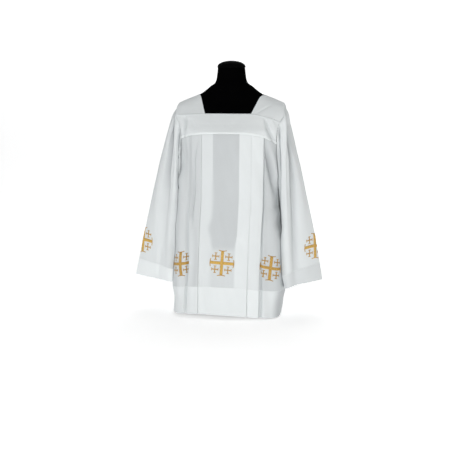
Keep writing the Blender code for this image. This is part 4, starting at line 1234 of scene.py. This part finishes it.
def capped(name, rings, slot, replaces, sharp=50):
    """A closed solid through rings, with a cap of shrinking rings at each end."""
    ends = []
    for ring in (rings[0], rings[-1]):
        middle = ring.mean(0)
        ends.append(np.array([middle + (ring - middle) * s for s in (0.002, 0.5, 0.97)]))
    points = np.concatenate([ends[0], rings, ends[1][::-1]])
    rows, sides = points.shape[:2]
    flat = Sheet(points, 1, tube=True).flat
    ids = numbered(rows, sides, True)
    faces, corners = [cells(ids)], [cells(flat)]
    for row, way in ((0, -1), (-1, 1)):  # the last tiny ring is closed by strips between its two halves
        ring = ids[row, :-1]
        strip = cells(np.stack([ring[: sides // 2], ring[::-1][: sides // 2]]))
        faces.append(strip[:, ::way])
        corners.append(np.zeros((len(strip), 4, 2)) + flat[row, 0])
    made = points.reshape(-1, 3), np.concatenate(faces), np.concatenate(corners)
    return add_piece(name, made, slot, None, replaces, sharp)


def turned(name, profile, sides, slot, replaces):
    """A solid of revolution about Z from (radius, z) pairs."""
    turn = np.linspace(0, 2 * math.pi, sides, endpoint=False)
    circle = np.stack([np.cos(turn), np.sin(turn), 0 * turn], -1)
    return capped(name, np.array([circle * r + (0, 0, z) for r, z in profile]), slot, replaces, 35)


def quarter(radius, z, wide, high, to_degrees, count):
    """An arc of (radius, z) pairs from its outermost point upward."""
    turns = np.radians(np.linspace(0, to_degrees, count))
    return [(radius + wide * math.cos(a), z + high * math.sin(a)) for a in turns]


def dress_form():
    """The torso, whose shoulders repeat the cloth form's, with its neck cap, post and base."""
    shoulders = [
        (z - REST_DOWN, min(wide - REST_IN, SHOULDER_PLATE), front - REST_IN, back - REST_IN, square)
        for z, wide, front, back, square, _ in CLOTH_ROWS
        if z >= NECKLINE_Z["front"]
    ]
    rows = [*TORSO_ROWS, *shoulders, *NECK_ROWS]
    spans = (0.265, 0.278, 6), (0.29, 0.75, 40), (0.755, 0.925, 44)
    levels = [column(rows, FORM_COLUMNS, "z"), *(np.linspace(*span) for span in spans)]
    levels = np.unique(np.concatenate(levels))
    capped("form_torso_jersey", form_rings(rows, levels, 96), "jersey", ["form_torso"])
    low = NECK_TOP_Z + 0.0003
    dome = [(0.0510, low), (0.0522, low + 0.0006), *quarter(0, low + 0.004, 0.0525, 0.022, 84, 14)]
    turned("neck_cap_dome", dome, 64, "cap", ["neck_cap"])
    rim = quarter(0.109, 0.011, 0.003, 0.003, 90, 6)
    plate = [(0.1112, 0.0), (0.112, 0.0008), *rim, (0.030, 0.0140)]
    turned("stand_base_plate", plate, 96, "steel", ["stand_base"])
    turned("stand_post_tube", [(0.016, 0.0143), (0.016, 0.2647)], 48, "steel", ["stand_post"])


# ---- materials


def feed(node, inputs):
    """Sets a node's inputs, or links them to another node's outputs."""
    for key, value in inputs.items():
        if isinstance(value, bpy.types.NodeSocket):
            node.id_data.links.new(value, node.inputs[key])
        else:
            node.inputs[key].default_value = value


def put(tree, kind, inputs, **settings):
    """A new node's first output, with its settings and inputs."""
    node = tree.nodes.new(kind)
    for key, value in settings.items():
        setattr(node, key, value)
    feed(node, inputs)
    return node.outputs[0]


def maths(tree, operation, *values):
    """A Math node's result."""
    return put(tree, "ShaderNodeMath", dict(enumerate(values)), operation=operation)


def waves(tree, value, long):
    """Sine waves of this length."""
    return maths(tree, "SINE", maths(tree, "MULTIPLY", value, 2 * math.pi / long))


def noise(tree, place, scale, detail):
    """Uneven patches, 0 to 1."""
    return put(tree, "ShaderNodeTexNoise", {"Vector": place, "Scale": scale, "Detail": detail})


def spread(tree, value, low, high, side="To"):
    """Turns 0 to 1 into low to high, or, with side "From", low to high into 0 to 1."""
    return put(tree, "ShaderNodeMapRange", {"Value": value, f"{side} Min": low, f"{side} Max": high})


def bump(tree, height, strength, distance, **more):
    """Normals of a surface raised by height."""
    return put(tree, "ShaderNodeBump", {"Height": height, "Strength": strength, "Distance": distance, **more})


def mix_colours(tree, factor, first, second):
    """A colour Mix node's result; its colour sockets share their names with its other kinds."""
    node = tree.nodes.new("ShaderNodeMix")
    node.data_type = "RGBA"
    colours = [socket for socket in node.inputs if socket.type == "RGBA"]
    colours[0].default_value, colours[1].default_value = (*first, 1), (*second, 1)
    tree.links.new(factor, node.inputs[0])
    return next(socket for socket in node.outputs if socket.type == "RGBA")


def principled(name, **sockets):
    """A material whose Principled shader has these constant values: the material, its tree, the
    shader, the place on the object and the flat coordinates."""
    made = bpy.data.materials.new(name)
    made.use_nodes = True
    tree = made.node_tree
    shader = tree.nodes["Principled BSDF"]
    feed(shader, {key.replace("_", " "): value for key, value in sockets.items()})
    place = tree.nodes.new("ShaderNodeTexCoord").outputs["Object"]
    return made, tree, shader, place, put(tree, "ShaderNodeUVMap", {}, uv_map="flat")


def split(tree, vector):
    """A vector's X and Y."""
    node = tree.nodes.new("ShaderNodeSeparateXYZ")
    feed(node, {0: vector})
    return node.outputs[0], node.outputs[1]


def weave_group():
    """Plain weave: warp and weft as crossed sine waves, with slubs where the yarn is thicker.
    Puts out Height and Slub, 0 to 1."""
    group = bpy.data.node_groups.new("plain_weave", "ShaderNodeTree")
    group.interface.new_socket("Vector", in_out="INPUT", socket_type="NodeSocketVector")
    threads = group.interface.new_socket("Threads per metre", in_out="INPUT", socket_type="NodeSocketFloat")
    threads.default_value = 2600.0
    for key in ("Height", "Slub"):
        group.interface.new_socket(key, in_out="OUTPUT", socket_type="NodeSocketFloat")
    place, per_metre = group.nodes.new("NodeGroupInput").outputs[:2]
    rate = maths(group, "MULTIPLY", per_metre, math.pi)
    warp, weft = (maths(group, "SINE", maths(group, "MULTIPLY", part, rate)) for part in split(group, place))
    stretched = put(group, "ShaderNodeMapping", {"Vector": place, "Scale": (900, 60, 1)})
    slub = noise(group, stretched, 1.0, 2.0)
    height = maths(group, "MULTIPLY_ADD", maths(group, "MULTIPLY", warp, weft), 0.5, slub)
    feed(group.nodes.new("NodeGroupOutput"), {"Height": height, "Slub": slub})
    return group


def cloth_material(weave):
    """White plain weave. Where the veil attribute is high the cloth is single and what lies
    behind it greys it; doubled cloth is whiter. The same attribute carries painted shade in folds,
    grooves and parts that turn from the light, drawn with the same grey."""
    made, tree, shader, place, flat = principled(
        "white_cloth", Roughness=0.82, Sheen_Weight=0.12, Sheen_Roughness=0.5, Specular_IOR_Level=0.2
    )
    veil_and_shade = tree.nodes.new("ShaderNodeAttribute")
    veil_and_shade.attribute_name = "veil_and_shade"
    threads = tree.nodes.new("ShaderNodeGroup")
    threads.node_tree = weave
    feed(threads, {"Vector": flat})
    # The grey is both see-through tone and painted shade.
    tone = mix_colours(tree, veil_and_shade.outputs["Fac"], DOUBLED_WHITE, VEILED_AND_SHADED_GREY)
    shade = spread(tree, noise(tree, place, 14.0, 3.0), 0.975, 1.02)
    slub = spread(tree, threads.outputs["Slub"], 0.985, 1.01)
    scale = maths(tree, "MULTIPLY", shade, slub)
    base = put(tree, "ShaderNodeVectorMath", {0: tone, "Scale": scale}, operation="SCALE")
    fine = bump(tree, threads.outputs["Height"], 0.25, 0.0001)
    soft = bump(tree, noise(tree, place, 55.0, 4.0), 0.22, 0.002, Normal=fine)
    feed(shader, {"Base Color": base, "Normal": soft})
    return made


def thread_material():
    """Gold satin stitch: threads across each stroke, so the ridges repeat along it, with painted shade
    between threads and here and there a deeper one. The deep attribute darkens a whole cross, and
    adds painted shade on its thin strokes."""
    made, tree, shader, place, flat = principled(
        "gold_thread", Roughness=0.36, Sheen_Weight=0.25, Sheen_Roughness=0.35, Specular_IOR_Level=0.55
    )
    along, across = split(tree, flat)
    ridge = waves(tree, maths(tree, "MULTIPLY_ADD", across, 0.22, along), 0.00055)
    # Painted shade in the gaps between threads, with random deeper patches.
    gap_shade_and_tone = maths(tree, "MULTIPLY_ADD", ridge, -0.18, noise(tree, place, 260.0, 3.0))
    deep = tree.nodes.new("ShaderNodeAttribute")
    deep.attribute_name = "deep"
    both = maths(tree, "ADD", spread(tree, gap_shade_and_tone, 0.34, 0.85, "From"), deep.outputs["Fac"])
    tone = mix_colours(tree, both, GOLD, GOLD_DEEP_AND_SHADED)
    feed(shader, {"Base Color": tone, "Normal": bump(tree, ridge, 0.6, 0.00018)})
    return made


def jersey_material():
    """Black knit jersey: columns of stitches as fine ridges, with a soft uneven nap."""
    made, tree, shader, place, flat = principled("black_jersey", Roughness=1.0, Specular_IOR_Level=0.01)
    across, down = split(tree, flat)
    courses = maths(tree, "MULTIPLY", waves(tree, down, 0.0009), 0.4)
    knit = maths(tree, "MULTIPLY_ADD", waves(tree, across, 0.0011), 0.6, courses)
    tone = mix_colours(tree, noise(tree, place, 30.0, 4.0), *JERSEY_BLACKS)
    feed(shader, {"Base Color": tone, "Normal": bump(tree, knit, 0.3, 0.0002)})
    return made


def hard_material(name, first, second, roughness, grain, depth, shine):
    """A painted or moulded surface: two close tones in a fine grain, which also roughens it."""
    made, tree, shader, place, _ = principled(name, Specular_IOR_Level=shine)
    grains = noise(tree, place, grain, 4.0)
    feed(shader, {
        "Base Color": mix_colours(tree, grains, first, second),
        "Roughness": spread(tree, grains, roughness - 0.08, roughness + 0.08),
        "Normal": bump(tree, grains, 0.3, depth),
    })
    return made


DOUBLED_WHITE, VEILED_AND_SHADED_GREY = (0.87, 0.905, 0.910), (0.380, 0.399, 0.414)
GOLD, GOLD_DEEP_AND_SHADED = (0.80, 0.50, 0.11), (0.45, 0.24, 0.035)
JERSEY_BLACKS = (0.0004, 0.0004, 0.0005), (0.0012, 0.0012, 0.0014)
CAP_BLACKS = (0.001, 0.001, 0.0011), (0.002, 0.002, 0.0022)
STEEL_BLACKS = (0.022, 0.022, 0.025), (0.036, 0.036, 0.039)
FINISHES = {
    "cloth": cloth_material(weave_group()),
    "gold_thread": thread_material(),
    "jersey": jersey_material(),
    "cap": hard_material("black_cap", *CAP_BLACKS, 0.8, 400.0, 0.00006, 0.02),
    "steel": hard_material("black_steel", *STEEL_BLACKS, 0.5, 900.0, 0.00004, 0.3),
}


# ---- floor, light and camera


PICTURE_SIDE, FOCAL_PIXELS = 458, 895.2
AXIS_RIGHT_OF_CENTRE = 2.5  # of the picture, in its pixels
CAMERA_AZIMUTH, CAMERA_AWAY, CAMERA_HEIGHT, CAMERA_AIM = 9.0, 3.4, 0.879, 0.314
AIR, AIR_STRENGTH = (0.97, 0.985, 1.0), 0.13
# Lights: name, place, what it looks at, size, power and colour.
LIGHTS = (
    ("key", (0.9, -4.2, 1.9), (0, 0, 0.45), 1.3, 68.0, (1.0, 0.985, 0.96)),
    ("fill", (-1.4, -4.1, 1.3), (0, 0, 0.45), 2.0, 32.0, (0.95, 0.975, 1.0)),
    ("back", (0.0, 1.6, 3.4), (0, 3.0, 0.6), 2.5, 25.0, (1.0, 1.0, 1.0)),
)
FLOOR_HALF, BEND_Y, BEND, BACKDROP_TOP = 14.0, 2.6, 1.2, 9.0  # BEND is the turn's radius


def add_looking(thing, spot, target):
    """Links a light or camera at spot, turned to look at target."""
    thing.location = spot
    thing.rotation_euler = (Vector(target) - Vector(spot)).to_track_quat("-Z", "Y").to_euler()
    bpy.context.scene.collection.objects.link(thing)
    return thing


def studio():
    """A pale floor that curves up into a pale backdrop, three soft lights and the camera."""
    made, tree, shader, place, _ = principled("pale_paper", Roughness=0.9, Specular_IOR_Level=0.1)
    tone = mix_colours(tree, noise(tree, place, 3.0, 2.0), (0.93, 0.93, 0.93), (0.95, 0.95, 0.95))
    feed(shader, {"Base Color": tone, "Emission Color": (1, 1, 1, 1), "Emission Strength": 0.46})
    # The profile: a flat floor, a quarter turn, then straight up.
    turn = np.radians(np.linspace(0, 90, 24))
    y = np.concatenate([[-FLOOR_HALF], BEND_Y + BEND * np.sin(turn), [BEND_Y + BEND]])
    z = np.concatenate([[0.0], BEND - BEND * np.cos(turn), [BACKDROP_TOP]])
    points = [(x, *yz) for yz in zip(y, z) for x in (-FLOOR_HALF, FLOOR_HALF)]
    mesh = bpy.data.meshes.new("floor_sweep")
    mesh.from_pydata(points, [], cells(numbered(len(y), 2, False)).tolist())
    mesh.shade_smooth()
    mesh.materials.append(made)
    sweep = bpy.data.objects.new("floor_sweep", mesh)
    bpy.context.scene.collection.objects.link(sweep)
    for name, spot, target, size, power, colour in LIGHTS:
        lamp = bpy.data.lights.new(name, "AREA")
        lamp.shape, lamp.size, lamp.energy, lamp.color = "DISK", size, power, colour
        add_looking(bpy.data.objects.new(name, lamp), spot, target)
    world = bpy.data.worlds.new("studio_air")
    world.use_nodes = True
    feed(world.node_tree.nodes["Background"], {"Color": (*AIR, 1), "Strength": AIR_STRENGTH})
    bpy.context.scene.world = world
    lens = bpy.data.cameras.new("camera")
    lens.lens, lens.sensor_width = FOCAL_PIXELS * 36 / PICTURE_SIDE, 36
    lens.shift_x = -AXIS_RIGHT_OF_CENTRE / PICTURE_SIDE
    lens.clip_start, lens.clip_end = 0.1, 60
    turn = math.radians(CAMERA_AZIMUTH)
    spot = (CAMERA_AWAY * math.sin(turn), -CAMERA_AWAY * math.cos(turn), CAMERA_HEIGHT)
    bpy.context.scene.camera = add_looking(bpy.data.objects.new("camera", lens), spot, (0, 0, CAMERA_AIM))
    bpy.context.scene.view_settings.view_transform = "Standard"


# ---- the whole object


# Every sheet's cut, laid flat, hems let down: width (all round for a sleeve), length and area; how
# it is held, and what it rests on or hangs from.
CUT = (
    ("front_panel_cloth", 1.046, 0.775, 0.736, "hung", ["front_yoke_cloth", "form_torso_jersey"]),
    ("back_panel_cloth", 1.006, 0.778, 0.713, "hung", ["back_yoke_cloth", "form_torso_jersey"]),
    ("front_yoke_cloth", 0.413, 0.082, 0.0330, "laid", ["form_torso_jersey"]),
    ("back_yoke_cloth", 0.425, 0.097, 0.0395, "laid", ["form_torso_jersey"]),
    ("shoulder_right_cloth", 0.125, 0.212, 0.0203, "laid", ["form_torso_jersey"]),
    ("shoulder_left_cloth", 0.125, 0.200, 0.0197, "laid", ["form_torso_jersey"]),
    ("sleeve_right_cloth", 0.795, 0.614, 0.312, "hung", ["shoulder_right_cloth", "front_panel_cloth"]),
    ("sleeve_left_cloth", 0.801, 0.613, 0.312, "hung", ["shoulder_left_cloth", "front_panel_cloth"]),
)


def dress():
    """Makes every piece of the garment: body, sleeves, stitches, embroidery."""
    sheets, panels, sewn, edging = {}, [], [], {}
    for face in FACES:
        sheet, veil_and_shade, hem = panel_sheet(face)
        panels.append(cloth_piece(f"{face}_panel", sheet, veil_and_shade))
        sewn.append(row_across(sheet, hem + STITCHED_UNDER, STITCHED_IN))
        sheets[f"{face}_panel"] = sheet
    for face in FACES:
        piece = cloth_piece(f"{face}_yoke", *yoke_sheet(face))
        edging[piece] = []
        for part, height, veil_and_shade, places in WELTS:
            strip, sheet = welt(face, part, height, veil_and_shade)
            edging[piece].append(strip)
            sewn += [row_across(sheet, at, STITCHED_IN) for at in places]
    for word in SIDES:
        sheet = shoulder_sheet(word)
        piece = cloth_piece(f"shoulder_{word}", sheet, SHOULDER_VEIL)
        edging[piece] = [neck_band(word, sheet)]
    bpy.context.view_layer.update()
    graph = bpy.context.evaluated_depsgraph_get()
    body = [BVHTree.FromObject(piece, graph) for piece in panels]
    for word in SIDES:
        sheet, veil_and_shade, hem = sleeve_sheet(word, body)
        cloth_piece(f"sleeve_{word}", sheet, veil_and_shade)
        sewn.append(row_across(sheet, hem + STITCHED_UNDER))
        sheets[f"sleeve_{word}"] = sheet
    stitches("white_stitching", sewn)
    for name, part, *how in CROSSES:
        emblem(name, sheets[part], *how)
    for name, wide, long, area, held, rests_on in CUT:
        piece = bpy.data.objects[name]


studio()
dress_form()
dress()
